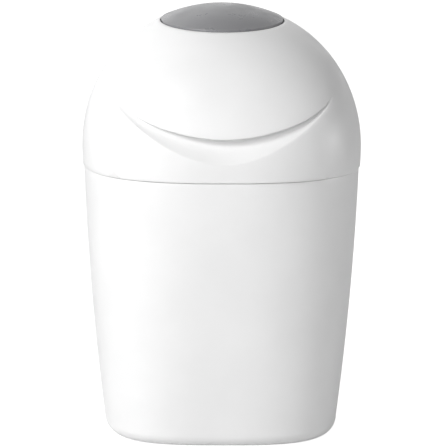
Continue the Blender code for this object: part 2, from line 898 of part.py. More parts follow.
def make_plunger_stem():
    top = button_boss_bottom - seat_gap
    bottom = presser_top + seat_gap
    spigot_top = button_boss_bottom + button_socket_depth - seat_gap
    spigot_bottom = presser_hub_floor + seat_gap
    hole_top = spigot_bottom + screw_length
    profile = [
        (0, spigot_top),
        (spigot_radius, spigot_top),
        (spigot_radius, top),
        (stem_radius, top),
        (stem_radius, bottom),
        (spigot_radius, bottom),
        (spigot_radius, spigot_bottom),
        (screw_hole_radius, spigot_bottom),
        (screw_hole_radius, hole_top),
        (0, hole_top),
    ]
    place(turned("plunger_stem", profile, small_columns), inner_plastic, plunger_axis, leant=True)


def make_presser_plate():
    rim_bottom = presser_bottom + presser_dish
    rim_top = rim_bottom + presser_thickness
    head_room = screw_head_radius + slide_gap
    profile = [
        (spigot_radius + seat_gap, presser_top),
        (presser_hub_radius, presser_top),
        (presser_hub_radius, presser_hub_floor),
        (presser_flat_radius, presser_bottom + presser_thickness),
        (presser_radius - presser_thickness, rim_top),
        (presser_radius, rim_top),
        (presser_radius, rim_bottom),
        (presser_flat_radius, presser_bottom),
        (head_room, presser_bottom),
        (head_room, presser_bottom + screw_head_height),
        (screw_hole_radius, presser_bottom + screw_head_height),
        (screw_hole_radius, presser_hub_floor),
        (spigot_radius + seat_gap, presser_hub_floor),
    ]
    plate = turned("presser_plate", profile, round_columns)
    near, far = (spigot_radius + presser_hub_radius) / 2, presser_radius - 2 * presser_thickness
    low, high = rim_bottom + presser_thickness / 2, rim_bottom + presser_rib_height
    ribs = blocks_round("presser_ribs", presser_rib_count, 0, near, far, presser_rib_thickness, low, high)
    boolean(plate, ribs, "UNION")
    place(plate, soft_plastic, plunger_axis, leant=True)
    make_screw("presser_screw", at_angle(0, 0), presser_bottom + screw_head_height, plunger_axis, leant=True)


def make_plunger_spring():
    start = (0, 0, well_floor_top + seat_gap)
    end = (0, 0, cap_height(spring_rib_outer_radius, button_wall) - seat_gap)
    spring = coil("plunger_spring", spring_radius, spring_wire_radius, spring_turns, start, end)
    place(spring, steel, lid_pivot, leant=True)


# Head housing


def join_head_knuckles(head):
    """Three knuckles on webs that reach out over the tub's rim."""
    inner = hinge_half_span - outer_knuckle_length
    half = middle_knuckle_length / 2
    root = flange_half_width - knuckle_web_reach
    upper, lower = deck_top - seat_gap, deck_bottom + seat_gap
    top_angle = math.pi - math.asin((upper - hinge_axis.z) / knuckle_radius)
    bottom_angle = -math.pi - math.asin((lower - hinge_axis.z) / knuckle_radius)
    outline = knuckle_outline(bottom_angle, top_angle, [(root, upper), (root, lower)])
    spans = [(-hinge_half_span, -inner), (-half, half), (inner, hinge_half_span)]
    join_knuckles(head, "head_knuckle", outline, spans)


def join_cutter_guide(head):
    half_width = cutter_bar_width / 2 + slide_gap
    bottom = cutter_height - cutter_bar_height / 2 - slide_gap
    top = cutter_height + cutter_bar_height / 2 + cutter_blade_thickness + 2 * slide_gap
    outer_end = collar_radius + cutter_guide_length
    outside = half_width + cutter_guide_wall
    inner_end = math.sqrt(throat_radius**2 - outside**2) + head_wall / 2
    guide = block(
        "cutter_guide",
        (-outside, -outer_end, bottom - cutter_guide_wall),
        (outside, -inner_end, top + cutter_guide_wall),
    )
    boolean(head, guide, "UNION")
    channel = block(
        "cutter_channel",
        (-half_width, -outer_end - cut_overrun, bottom),
        (half_width, -throat_radius + cut_overrun, top),
    )
    boolean(head, channel, "DIFFERENCE")


def make_head_housing():
    skirt_bottom = deck_bottom - skirt_depth
    skirt_top_half = tub_half_width(tub_height, tub_wall) - skirt_gap
    skirt_low_half = tub_half_width(skirt_bottom, tub_wall) - skirt_gap
    collar_top = head_floor_top + seat_gap + cup_floor
    ledge_radius = throat_radius - throat_ledge
    rings = [
        square_ring(flange_half_width, rim_squareness, deck_top),
        round_ring(head_well_radius, deck_top),
        round_ring(head_well_radius, head_floor_top),
        round_ring(collar_radius, head_floor_top),
        round_ring(collar_radius, collar_top),
        round_ring(throat_radius, collar_top),
        round_ring(throat_radius, throat_bottom + head_wall),
        round_ring(ledge_radius, throat_bottom + head_wall),
        round_ring(ledge_radius, throat_bottom),
        round_ring(collar_radius, throat_bottom),
        round_ring(collar_radius, head_floor_bottom),
        round_ring(head_well_radius + head_wall, head_floor_bottom),
        round_ring(head_well_radius + head_wall, deck_bottom),
        square_ring(skirt_top_half - head_wall, rim_squareness, deck_bottom),
        square_ring(skirt_low_half - head_wall, rim_squareness, skirt_bottom),
        square_ring(skirt_low_half, rim_squareness, skirt_bottom),
        square_ring(skirt_top_half, rim_squareness, deck_bottom),
        square_ring(flange_half_width, rim_squareness, deck_bottom),
    ]
    head = loft("head_housing", rings)
    join_head_knuckles(head)
    near, far = tooth_tip_radius - hook_bite, head_well_radius + head_wall / 2
    low = tooth_top + slide_gap
    hooks = blocks_round("ring_hooks", hook_count, 0, near, far, hook_width, low, low + hook_thickness)
    boolean(head, hooks, "UNION")
    post_far = click_wall_radius() - click_leaf_thickness - seat_gap
    post_angle = click_root_angle() - click_clamp_angle / 2
    post_width = post_far * click_clamp_angle / 2
    low, high = head_floor_top - head_wall / 2, tooth_top
    post = blocks_round(
        "click_post", 1, post_angle, post_far - click_post_thickness, post_far, post_width, low, high
    )
    boolean(head, post, "UNION")
    join_cutter_guide(head)
    place(head, inner_plastic, head_seat)


def make_hinge_pin():
    reach = Vector((hinge_half_span, 0, 0))
    pin = rods("hinge_pin", hinge_pin_radius, [(hinge_axis - reach, hinge_axis + reach)], small_columns)
    place(pin, steel, head_seat)


def make_lid_seal():
    middle = liner_bowl_radius + (liner_wall + liner_foot_height) / 2
    low, high = deck_top + seat_gap, liner_foot_bottom - seat_gap
    edge = (high - low) * seal_edge_share
    inner, outer = middle - seal_width / 2, middle + seal_width / 2
    profile = [(inner + edge, high), (outer - edge, high), (outer, low), (inner, low)]
    place(turned("lid_seal", profile, inner_columns), soft_plastic, head_seat)


def make_gripper_ring():
    outer = throat_radius - slide_gap
    inner = throat_radius - throat_ledge - slide_gap
    tip = throat_bottom - gripper_finger_drop
    rim_low = throat_bottom + head_wall + seat_gap
    rim_high = rim_low + gripper_rim_height
    neck = inner - gripper_rim_width
    profile = [
        (inner - gripper_thickness, rim_high),
        (outer, rim_high),
        (outer, rim_low),
        (inner - slide_gap, rim_low),
        (gripper_opening_radius, tip),
        (gripper_opening_radius - gripper_thickness, tip + gripper_thickness),
        (neck, rim_low + gripper_thickness),
    ]
    ring = turned("gripper_ring", profile, round_columns)
    near, low, high = gripper_opening_radius / 2, tip - cut_overrun, rim_high + cut_overrun
    slots = blocks_round("gripper_slots", gripper_finger_count, 0, near, neck, gripper_slot_width, low, high)
    boolean(ring, slots, "DIFFERENCE")
    place(ring, soft_plastic, head_seat)


# Twist ring and click spring


def tooth_step():
    return 2 * math.pi / tooth_count


def tooth_angles():
    """Two columns a tooth: its root, and its tip further round."""
    return [tooth_step() * (i + share) for i in range(tooth_count) for share in (0, tooth_ramp_share)]


def peg_spots():
    return [at_angle(2 * math.pi * i / drive_peg_count, drive_peg_circle) for i in range(drive_peg_count)]


def make_twist_ring():
    angles = tooth_angles()
    tooth_radii = (tooth_root_radius, tooth_tip_radius)
    grip_middle = cup_radius + grip_ring_width

    def circle(radius, height):
        return [at_angle(angle, radius, height) for angle in angles]

    def teeth(height):
        return [at_angle(angle, tooth_radii[i % 2], height) for i, angle in enumerate(angles)]

    def scallops(height):
        waves = [grip_scallop_depth * math.cos(grip_scallop_count * angle) for angle in angles]
        return [at_angle(angle, grip_middle + wave, height) for angle, wave in zip(angles, waves)]

    rings = [
        circle(cup_hole_radius, cup_bottom),
        circle(cup_hole_radius, cup_floor_top),
        circle(cup_radius, cup_floor_top),
        circle(cup_radius, grip_ring_top),
        scallops(grip_ring_top),
        scallops(grip_ring_bottom),
        circle(cup_outer_radius, grip_ring_bottom),
        circle(cup_outer_radius, tooth_top),
        teeth(tooth_top),
        teeth(cup_bottom),
    ]
    ring = loft("twist_ring", rings)
    pegs = [upright(s, cup_bottom + cup_floor / 2, cup_floor_top + drive_peg_height) for s in peg_spots()]
    boolean(ring, rods("drive_pegs", drive_peg_radius, pegs, screw_columns), "UNION")
    place(ring, grey_plastic, twist_axis)


def click_nose():
    """The angle of the tooth root at the back that the nose rests in."""
    return tooth_step() * round(math.pi / tooth_step())


def click_root_angle():
    return click_nose() + click_leaf_angle + click_clamp_angle


def click_wall_radius():
    return on_the_flats(head_well_radius, inner_columns) - seat_gap


def make_click_spring():
    """A leaf held between the well's wall and a post, bent in towards the teeth."""
    nose = click_nose() + click_nose_angle
    end = click_nose() + click_leaf_angle
    wall = click_wall_radius() - click_leaf_thickness
    tip = tooth_root_radius + turn_gap
    inner = [(click_root_angle(), wall)]
    for i in range(click_leaf_steps + 1):
        share = i / click_leaf_steps
        inner.append((end + (nose - end) * share, wall + (tip - wall) * share))
    outline = [at_angle(angle, radius).xy for angle, radius in inner]
    outline += [at_angle(angle, radius + click_leaf_thickness).xy for angle, radius in inner[::-1]]
    middle = Matrix.Translation((0, 0, cup_bottom + tooth_height / 2))
    place(extruded("click_spring", outline, click_leaf_height, middle), steel, head_seat)


# Cassette


def make_cassette_body():
    rim_radius = cassette_radius - cassette_wall
    profile = [
        (cassette_bore, cassette_top),
        (cassette_tube_radius, cassette_top),
        (cassette_tube_radius, cassette_floor_top),
        (rim_radius, cassette_floor_top),
        (rim_radius, cassette_wall_top),
        (cassette_radius, cassette_wall_top),
        (cassette_radius, cassette_bottom),
        (cassette_bore, cassette_bottom),
    ]
    body = turned("cassette_body", profile, round_columns)
    holes = [upright(s, cassette_bottom - cut_overrun, cassette_floor_top + cut_overrun) for s in peg_spots()]
    boolean(body, rods("peg_holes", drive_peg_radius + slide_gap, holes, screw_columns), "DIFFERENCE")
    place(body, cassette_plastic, cassette_seat)


def cap_skirt_radius():
    return cassette_radius - cassette_wall - seat_gap


def make_cassette_cap():
    inner = cassette_tube_radius + cassette_slot
    skirt = cap_skirt_radius()
    skirt_bottom = cassette_cap_bottom - cassette_cap_skirt
    profile = [
        (inner, cassette_cap_top),
        (cassette_radius, cassette_cap_top),
        (cassette_radius, cassette_cap_bottom),
        (skirt, cassette_cap_bottom),
        (skirt, skirt_bottom),
        (skirt - cassette_wall, skirt_bottom),
        (skirt - cassette_wall, cassette_cap_bottom),
        (inner, cassette_cap_bottom),
    ]
    place(turned("cassette_cap", profile, round_columns), cassette_plastic, cassette_seat)


def make_film_pack():
    """The gathered film, pleated round the cassette's tube."""
    inner = cassette_tube_radius + film_margin
    outer = cap_skirt_radius() - cassette_wall - film_margin
    bottom = cassette_floor_top + seat_gap
    top = cassette_cap_bottom - cassette_cap_skirt - film_margin
    folds = 2 * film_pleats
    drops = [(top - bottom) * i / folds for i in range(folds + 1)]
    outside = [(outer - film_pleat_depth * (i % 2), top - drop) for i, drop in enumerate(drops)]
    inside = [(inner + film_pleat_depth * (i % 2), bottom + drop) for i, drop in enumerate(drops)]
    film = turned("film_pack", outside + inside, film_columns)
    low, high = bottom - cut_overrun, cup_floor_top + drive_peg_height + slide_gap
    pegs = [upright(spot, low, high) for spot in peg_spots()]
    boolean(film, rods("film_peg_room", drive_peg_radius + slide_gap, pegs, screw_columns), "DIFFERENCE")
    place(film, film_plastic, cassette_seat)


# Film cutter


def make_cutter():
    guide_end = collar_radius + cutter_guide_length
    button_near = guide_end + cutter_travel + cutter_guide_wall
    half_width, half_height = cutter_bar_width / 2, cutter_bar_height / 2
    stop_half = half_width + cutter_stop_width
    stop_near = on_the_flats(math.sqrt(throat_radius**2 - stop_half**2), inner_columns) - seat_gap
    low, high = cutter_height - half_height, cutter_height + half_height
    slider = block(
        "cutter_slider",
        (-half_width, -button_near - cutter_button_thickness / 2, low),
        (half_width, -stop_near + cutter_stop_length / 2, high),
    )
    stop_far = stop_near - cutter_stop_length
    stop = block("cutter_stop", (-stop_half, -stop_near, low), (stop_half, -stop_far, high))
    boolean(slider, stop, "UNION")
    near = Vector((0, -button_near, cutter_height))
    far = near - Vector((0, cutter_button_thickness, 0))
    boolean(slider, rods("cutter_button", cutter_button_radius, [(far, near)], small_columns), "UNION")
    place(slider, soft_plastic, cutter_axis)

    tip = stop_far + cutter_blade_setback
    blade_half = half_width - cutter_blade_setback
    outline = [
        (-blade_half, -tip - cutter_blade_length),
        (blade_half, -tip - cutter_blade_length),
        (blade_half, -tip - cutter_blade_slant),
        (-blade_half, -tip),
    ]
    middle = Matrix.Translation((0, 0, high + seat_gap + cutter_blade_thickness / 2))
    place(extruded("cutter_blade", outline, cutter_blade_thickness, middle), steel, cutter_axis)

    start = (0, -guide_end - seat_gap, cutter_height)
    end = (0, -button_near + seat_gap, cutter_height)
    spring = coil(
        "cutter_spring", cutter_spring_radius, cutter_spring_wire_radius, cutter_spring_turns, start, end
    )
    place(spring, steel, head_seat)


make_tub()
make_head_housing()
make_hinge_pin()
make_lid_seal()
make_gripper_ring()
make_twist_ring()
make_click_spring()
make_cassette_body()
make_cassette_cap()
make_film_pack()
make_cutter()
make_lid_shell()
make_lid_liner()
make_plunger_well()
make_lid_screws()
make_top_button()
make_plunger_stem()
make_presser_plate()
make_plunger_spring()
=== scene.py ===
"""The nappy bin as it looks: fine mouldings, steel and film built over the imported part."""

from math import acos, asin, atan2, cos, hypot, pi, radians, sin, sqrt

import bpy
from mathutils import Matrix, Vector


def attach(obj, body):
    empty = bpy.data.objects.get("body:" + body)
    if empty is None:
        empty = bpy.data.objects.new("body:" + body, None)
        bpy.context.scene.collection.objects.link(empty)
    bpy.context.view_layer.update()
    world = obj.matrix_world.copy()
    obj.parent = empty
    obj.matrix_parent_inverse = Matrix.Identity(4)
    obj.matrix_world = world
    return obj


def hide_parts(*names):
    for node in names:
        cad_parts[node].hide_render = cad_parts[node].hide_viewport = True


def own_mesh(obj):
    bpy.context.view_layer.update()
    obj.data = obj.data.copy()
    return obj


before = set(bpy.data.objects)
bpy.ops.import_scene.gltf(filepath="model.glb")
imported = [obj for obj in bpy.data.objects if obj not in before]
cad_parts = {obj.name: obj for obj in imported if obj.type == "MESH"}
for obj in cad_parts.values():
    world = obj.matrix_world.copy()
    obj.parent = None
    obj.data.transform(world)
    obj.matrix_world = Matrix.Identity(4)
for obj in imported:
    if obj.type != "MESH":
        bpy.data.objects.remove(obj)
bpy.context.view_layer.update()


# Studio: a plain pale floor that runs out of view, a broad soft light from the upper left, weaker
# light from the front and the right, and the camera of the photograph, a long lens 10.5 degrees
# above level.

view_distance = 3.928
view_rise = radians(10.5)
view_turn = radians(-1)
view_roll = radians(0.3)
view_aim = Vector((0, 0, 0.1991))
light_aim = Vector((0, 0, 0.22))
air_all_round, air_behind, air_dark_corner = 0.33, 1.5, 0.12


def camera_at_the_front():
    lens = bpy.data.cameras.new("front_camera")
    lens.sensor_width = 36
    lens.lens = 322
    lens.shift_x = 0.0055
    camera = bpy.data.objects.new("front_camera", lens)
    across = cos(view_rise)
    towards = Vector((sin(view_turn) * across, -cos(view_turn) * across, sin(view_rise)))
    camera.location = view_aim + towards * view_distance
    turned = towards.to_track_quat("Z", "Y").to_matrix() @ Matrix.Rotation(view_roll, 3, "Z")
    camera.rotation_euler = turned.to_euler()
    bpy.context.scene.collection.objects.link(camera)
    bpy.context.scene.camera = camera


def soft_light(name, place, size, watts):
    bpy.ops.object.light_add(type="AREA", location=place)
    light = bpy.context.object
    light.name = name
    light.data.shape = "RECTANGLE"
    light.data.size, light.data.size_y = size
    light.data.energy = watts
    light.rotation_euler = (Vector(place) - light_aim).to_track_quat("Z", "Y").to_euler()


def feed(tree, node, sockets):
    """Gives a node's inputs their values, or links from other nodes."""
    for socket, value in sockets.items():
        if isinstance(value, bpy.types.NodeSocket):
            tree.links.new(value, node.inputs[socket])
        else:
            node.inputs[socket].default_value = value


def add_node(tree, kind, sockets=(), **settings):
    made = tree.nodes.new(kind)
    for setting, value in settings.items():
        setattr(made, setting, value)
    feed(tree, made, dict(sockets))
    return made


def noise(tree, vector, scale, detail=2.0, roughness=0.5):
    sockets = {"Vector": vector, "Scale": scale, "Detail": detail, "Roughness": roughness}
    return add_node(tree, "ShaderNodeTexNoise", sockets).outputs["Fac"]


def ranged(tree, value, low, high, to_low, to_high):
    sockets = {"Value": value, "From Min": low, "From Max": high, "To Min": to_low, "To Max": to_high}
    return add_node(tree, "ShaderNodeMapRange", sockets).outputs["Result"]


def sums(tree, operation, *values):
    return add_node(tree, "ShaderNodeMath", dict(enumerate(values)), operation=operation).outputs[0]


def new_finish(name):
    finish = bpy.data.materials.new(name)
    finish.use_nodes = True
    return finish, finish.node_tree


def spaced(sockets):
    """Inputs by name, whose names were given with underscores for their spaces."""
    return {socket.replace("_", " "): value for socket, value in sockets.items()}


def surface(tree, **sockets):
    feed(tree, tree.nodes["Principled BSDF"], spaced(sockets))


def floor_paint():
    """White paint that the camera sees near white and that gives the bin only a weak bounce."""
    paint, tree = new_finish("floor_paint")
    cloud = noise(tree, add_node(tree, "ShaderNodeTexCoord").outputs["Object"], 1.2)
    seen = add_node(tree, "ShaderNodeLightPath").outputs["Is Camera Ray"]
    shade, glow = ranged(tree, cloud, 0, 1, 0.63, 0.65), ranged(tree, seen, 0, 1, 0.11, 0.82)
    matt = {"Roughness": 0.9, "Specular_IOR_Level": 0.1}
    surface(tree, Base_Color=shade, Emission_Color=glow, Emission_Strength=1, **matt)
    return paint


def studio_air():
    """Soft light from all round, stronger from behind on the left, as from a white wall, and weaker
    from a dark corner of the room up on the right."""
    world = bpy.data.worlds.new("studio_air")
    world.use_nodes = True
    tree = world.node_tree
    towards = add_node(tree, "ShaderNodeTexCoord").outputs["Generated"]
    split = add_node(tree, "ShaderNodeSeparateXYZ", {0: towards}).outputs
    wall = ranged(tree, split["Y"], 0.1, 0.9, 0, air_behind)
    left = ranged(tree, split["X"], -0.9, 0.7, 1, 0.15)
    lit = sums(tree, "ADD", sums(tree, "MULTIPLY", wall, left), air_all_round)
    corner = {0: towards, 1: (0.62, 0.0, 0.785)}
    up_right = add_node(tree, "ShaderNodeVectorMath", corner, operation="DOT_PRODUCT").outputs["Value"]
    shade = ranged(tree, up_right, 0.5, 0.98, 1, air_dark_corner)
    strength = sums(tree, "MULTIPLY", lit, shade)
    feed(tree, tree.nodes["Background"], {"Color": (1, 1, 1, 1), "Strength": strength})
    return world


camera_at_the_front()
bpy.ops.object.select_all(action="DESELECT")
bpy.ops.mesh.primitive_plane_add(size=24)
floor = bpy.context.object
floor.name = "floor"
floor.data.materials.append(floor_paint())
soft_light("key_light", (-2.5, -2.3, 2.4), (1.4, 1.4), 94)
soft_light("front_light", (-1.3, -3.3, 1.5), (2.4, 1.6), 33)
soft_light("right_light", (2.9, 0.2, 0.45), (1.2, 0.8), 12)
bpy.context.scene.world = studio_air()
bpy.context.scene.view_settings.view_transform = "Standard"


# Tub: the tapered white bucket, a rounded square that grows squarer towards its foot. One
# injection moulding in white plastic with a low gloss, and a foot ring rubbed by the floor.

tub_height = 0.262
tub_rim_half = 0.1342
tub_foot_half = 0.1122
tub_bulge = 0.0031
tub_wall = 0.0025
tub_foot_round = 0.0135
tub_foot_ring = 0.016
tub_recess = 0.003
tub_rim_round = 0.0005
rim_squareness = 2.6
foot_squareness = 3.2
tub_columns = 160


def at_angle(angle, radius, height=0.0):
    """A point at an angle from the front, turning towards +X."""
    return Vector((radius * sin(angle), -radius * cos(angle), height))


def even_angles(columns):
    return [2 * pi * i / columns for i in range(columns)]


def square_reach(angle, half_width, squareness):
    """How far a rounded square reaches at an angle; a squareness of 2 makes it a circle."""
    across, along = abs(sin(angle)), abs(cos(angle))
    return half_width / (across**squareness + along**squareness) ** (1 / squareness)


def quarter(first, steps):
    """The angles of a rounding, in even steps up to a quarter turn."""
    return [pi / 2 * i / steps for i in range(first, steps + 1)]


def start_piece(name, primitive, **settings):
    """Adds a primitive by itself, as the start of a piece, with its place in its mesh."""
    bpy.ops.object.select_all(action="DESELECT")
    primitive(**settings)
    piece = bpy.context.object
    piece.name = name
    bpy.ops.object.transform_apply(location=True, rotation=True, scale=True)
    return piece


def open_mesh(action="SELECT"):
    """Opens the active piece's mesh, with all of it selected or none."""
    bpy.ops.object.mode_set(mode="EDIT")
    bpy.ops.mesh.select_all(action=action)


def close_up(piece, sharp=30.0, weld=0.000002):
    """Welds a piece's doubles, turns its faces outwards and smooths all but its sharp edges."""
    bpy.ops.object.select_all(action="DESELECT")
    piece.select_set(True)
    bpy.context.view_layer.objects.active = piece
    open_mesh()
    bpy.ops.mesh.remove_doubles(threshold=weld)
    bpy.ops.mesh.normals_make_consistent(inside=False)
    bpy.ops.object.mode_set(mode="OBJECT")
    bpy.ops.object.shade_smooth_by_angle(angle=radians(sharp))
    return piece


def skin_of_rings(name, rings, sharp=30.0):
    """A closed skin: a circle extruded ring by ring, and each ring then drawn to its own outline.

    It closes by a first and last ring that meet, or that each shrink to a point.
    """
    columns = len(rings[0])
    piece = start_piece(name, bpy.ops.mesh.primitive_circle_add, vertices=columns, radius=1)
    open_mesh()
    for _ in rings[1:]:
        bpy.ops.mesh.extrude_region_move(TRANSFORM_OT_translate={"value": (0, 0, 1)})
    bpy.ops.object.mode_set(mode="OBJECT")
    step = 2 * pi / columns
    for vertex in piece.data.vertices:
        column = round(atan2(vertex.co.x, -vertex.co.y) / step) % columns
        vertex.co = rings[round(vertex.co.z)][column]
    return close_up(piece, sharp)


def tub_half(height, inset=0.0):
    share = height / tub_height
    straight = tub_foot_half + (tub_rim_half - tub_foot_half) * share
    return straight + 4 * tub_bulge * share * (1 - share) - inset


def tub_ring(half_width, height):
    share = max(0, height / tub_height)
    squareness = foot_squareness + (rim_squareness - foot_squareness) * share
    angles = even_angles(tub_columns)
    return [at_angle(a, square_reach(a, half_width, squareness), height) for a in angles]


def tub_side(inset, bottom, fillet, rows):
    """Rings up one face of the wall, from the fillet at a floor's edge to the rim's rounding."""
    rings = []
    start = bottom + fillet
    for turn in quarter(0, 10):
        half_width = tub_half(start, inset) - fillet * (1 - sin(turn))
        rings.append(tub_ring(half_width, start - fillet * cos(turn)))
    end = tub_height - tub_rim_round
    for i in range(1, rows + 1):
        height = start + (end - start) * i / rows
        rings.append(tub_ring(tub_half(height, inset), height))
    inwards = 1 if inset == 0 else -1
    for turn in quarter(1, 3):
        drawn = tub_half(tub_height, inset) - inwards * tub_rim_round * (1 - cos(turn))
        rings.append(tub_ring(drawn, end + tub_rim_round * sin(turn)))
    return rings


def make_tub():
    recess = tub_half(tub_foot_round) - tub_foot_round - tub_foot_ring
    floor_top = tub_recess + tub_wall
    under = [[Vector((0, 0, tub_recess))] * tub_columns]
    under += [tub_ring((recess - tub_recess) * share, tub_recess) for share in (0.15, 0.4, 0.7)]
    for turn in quarter(0, 4):
        under.append(tub_ring(recess - tub_recess * cos(turn), tub_recess * (1 - sin(turn))))
    outside = tub_side(0, 0, tub_foot_round, 40)
    inside = tub_side(tub_wall, floor_top, tub_foot_round - tub_wall, 24)
    floor_half = tub_half(tub_foot_round, tub_wall) - tub_foot_round
    across = [tub_ring(floor_half * share, floor_top) for share in (0.8, 0.5, 0.2)]
    across.append([Vector((0, 0, floor_top))] * tub_columns)
    return skin_of_rings("tub_moulding", under + outside + inside[::-1] + across)


def new_group(name, **sides):
    """An empty shader node group, from the usual values of its inputs and outputs by name."""
    group = bpy.data.node_groups.new(name, "ShaderNodeTree")
    for side, sockets in sides.items():
        for label, usual in sockets.items():
            kind = "NodeSocketColor" if isinstance(usual, tuple) else "NodeSocketFloat"
            group.interface.new_socket(label, in_out=side, socket_type=kind).default_value = usual
    return group, add_node(group, "NodeGroupInput").outputs, add_node(group, "NodeGroupOutput")


def moulded_skin():
    """What every moulding shows: faint clouds of tone, fine mould grain, hazy patches that shine
    less, hairline rubs, and edges that are polished and a little soiled by hands."""
    shown = {"Colour": (0.8, 0.8, 0.8, 1), "Roughness": 0.4}
    amounts = {"Tone": 0.02, "Grain Scale": 1800.0, "Haze": 0.08, "Rubs": 0.1, "Edge Wear": 0.1}
    group, given, out = new_group("moulded_skin", INPUT={**shown, **amounts}, OUTPUT={**shown, "Height": 0.0})
    spot = add_node(group, "ShaderNodeTexCoord").outputs["Object"]
    clouds = ranged(group, noise(group, spot, 14.0, 3.0), 0.3, 0.7, -1.0, 1.0)
    tone = sums(group, "MULTIPLY_ADD", clouds, given["Tone"], 1.0)
    grain = noise(group, spot, given["Grain Scale"], 1.0)
    haze = ranged(group, noise(group, spot, 42.0, 4.0, 0.6), 0.35, 0.65, -1.0, 1.0)
    drawn_out = add_node(group, "ShaderNodeMapping", {"Vector": spot, "Scale": (260.0, 260.0, 22.0)})
    hairs = ranged(group, noise(group, drawn_out.outputs[0], 1.0, 5.0, 0.65), 0.6, 0.72, 0.0, 1.0)
    patches = ranged(group, noise(group, spot, 9.0), 0.5, 0.62, 0.0, 1.0)
    rubs = sums(group, "MULTIPLY", sums(group, "MULTIPLY", hairs, patches), given["Rubs"])
    point = add_node(group, "ShaderNodeNewGeometry").outputs["Pointiness"]
    edges = sums(group, "MULTIPLY", ranged(group, point, 0.52, 0.6, 0.0, 1.0), given["Edge Wear"])
    scaled = {0: given["Colour"], "Scale": tone}
    toned = add_node(group, "ShaderNodeVectorMath", scaled, operation="SCALE").outputs[0]
    soil = {"Factor": edges, "A": toned, "B": (0.42, 0.40, 0.37, 1)}
    soiled = add_node(group, "ShaderNodeMix", soil, data_type="RGBA").outputs["Result"]
    rough = sums(group, "MULTIPLY_ADD", haze, given["Haze"], given["Roughness"])
    rough = sums(group, "SUBTRACT", sums(group, "ADD", rough, rubs), sums(group, "MULTIPLY", edges, 0.4))
    height = sums(group, "SUBTRACT", grain, rubs)
    feed(group, out, {"Colour": soiled, "Roughness": rough, "Height": height})
    return group


moulded_skin_group = moulded_skin()


def bump(tree, height, depth, strength=0.5):
    sockets = {"Height": height, "Distance": depth, "Strength": strength}
    return add_node(tree, "ShaderNodeBump", sockets).outputs["Normal"]


def moulding_finish(name, colour, roughness, grain_scale=1800.0, grain_depth=0.00002, **amounts):
    """A moulded plastic, from its colour and how matt its mould is."""
    finish, tree = new_finish(name)
    values = {"Colour": (*colour, 1), "Roughness": roughness, "Grain Scale": grain_scale}
    values.update(spaced(amounts))
    skin = add_node(tree, "ShaderNodeGroup", values, node_tree=moulded_skin_group).outputs
    grain = bump(tree, skin["Height"], grain_depth, 0.6)
    surface(tree, Base_Color=skin["Colour"], Roughness=skin["Roughness"], Normal=grain)
    return finish


def fit(piece, finish, body, slot, *nodes):
    """Gives a piece its finish and its body, in place of the plain nodes."""
    piece.data.materials.clear()
    piece.data.materials.append(finish)
    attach(piece, body)
    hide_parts(*nodes)


white_moulding = moulding_finish("white_moulding", (0.87, 0.87, 0.87), 0.36, Rubs=0.12, Edge_Wear=0.12)
fit(make_tub(), white_moulding, "tub", "white_plastic", "tub")


# Head housing: the moulding that drops into the tub's mouth. One injection moulding in matt
# white: a deck over the rim, a round well with its collar and throat, hooks over the twist ring,
# a post for the click spring, a guide for the cutter and three hinge knuckles.

deck_bottom = 0.2623
deck_top = 0.2648
flange_half = 0.1325
head_well = 0.1073
head_wall = 0.0024
head_floor_top = 0.2363
head_floor_bottom = 0.2339
throat_bottom = 0.2039
collar_radius = 0.0615
throat_radius = 0.0591
hinge_y, hinge_z = 0.1378, 0.264
knuckle_radius = 0.0032
pin_radius = 0.0014
seat_gap = 0.0003
cutter_height = 0.2209
channel_low, channel_high = cutter_height - 0.00285, cutter_height + 0.00425
along_hinge = Matrix.Translation((0, hinge_y, hinge_z)) @ Matrix.Rotation(pi / 2, 4, "Y")


def shape_by(piece, kind, **settings):
    """Shapes a piece by a modifier of a kind, and applies it."""
    bpy.context.view_layer.objects.active = piece
    made = piece.modifiers.new("shaping", kind)
    for setting, value in settings.items():
        setattr(made, setting, value)
    bpy.ops.object.modifier_apply(modifier="shaping")


def ease_edges(piece, width, angle=35.0):
    """Rounds a moulding's corners as its mould does."""
    limits = {"limit_method": "ANGLE", "angle_limit": radians(angle), "use_clamp_overlap": True}
    shape_by(piece, "BEVEL", width=width, segments=2, **limits)
    return close_up(piece)


def joined(main, *others):
    """Makes one piece of several closed bodies that run into each other."""
    bpy.ops.object.select_all(action="DESELECT")
    for part in (main, *others):
        part.select_set(True)
    bpy.context.view_layer.objects.active = main
    bpy.ops.object.join()
    return main


def cut_away(piece, *tools, sharp=30.0):
    """Cuts holes and slots out of a piece and takes the cutters away."""
    for tool in tools:
        shape_by(piece, "BOOLEAN", object=tool, operation="DIFFERENCE")
        bpy.data.objects.remove(tool)
    return close_up(piece, sharp)


def turned_round(piece, angle):
    """Turns a finished piece round the bin's axis; angles run from the front towards +X."""
    piece.data.transform(Matrix.Rotation(angle, 4, "Z"))
    return piece


def block(name, low, high, ease):
    """A bar between two corners, with its edges eased."""
    low, high = Vector(low), Vector(high)
    middle, size = (low + high) / 2, high - low
    piece = start_piece(name, bpy.ops.mesh.primitive_cube_add, size=1, location=middle, scale=size)
    return ease_edges(piece, ease) if ease else close_up(piece)


def radial_block(name, angle, near, far, width, low, high, ease):
    return turned_round(block(name, (-width / 2, -far, low), (width / 2, -near, high), ease), angle)


def rod(name, radius, low, high, columns=32, ease=0.0):
    """An upright rod on the axis between two heights."""
    size = {"vertices": columns, "radius": radius, "depth": high - low}
    middle = (0, 0, (low + high) / 2)
    piece = start_piece(name, bpy.ops.mesh.primitive_cylinder_add, location=middle, **size)
    return ease_edges(piece, ease) if ease else close_up(piece)


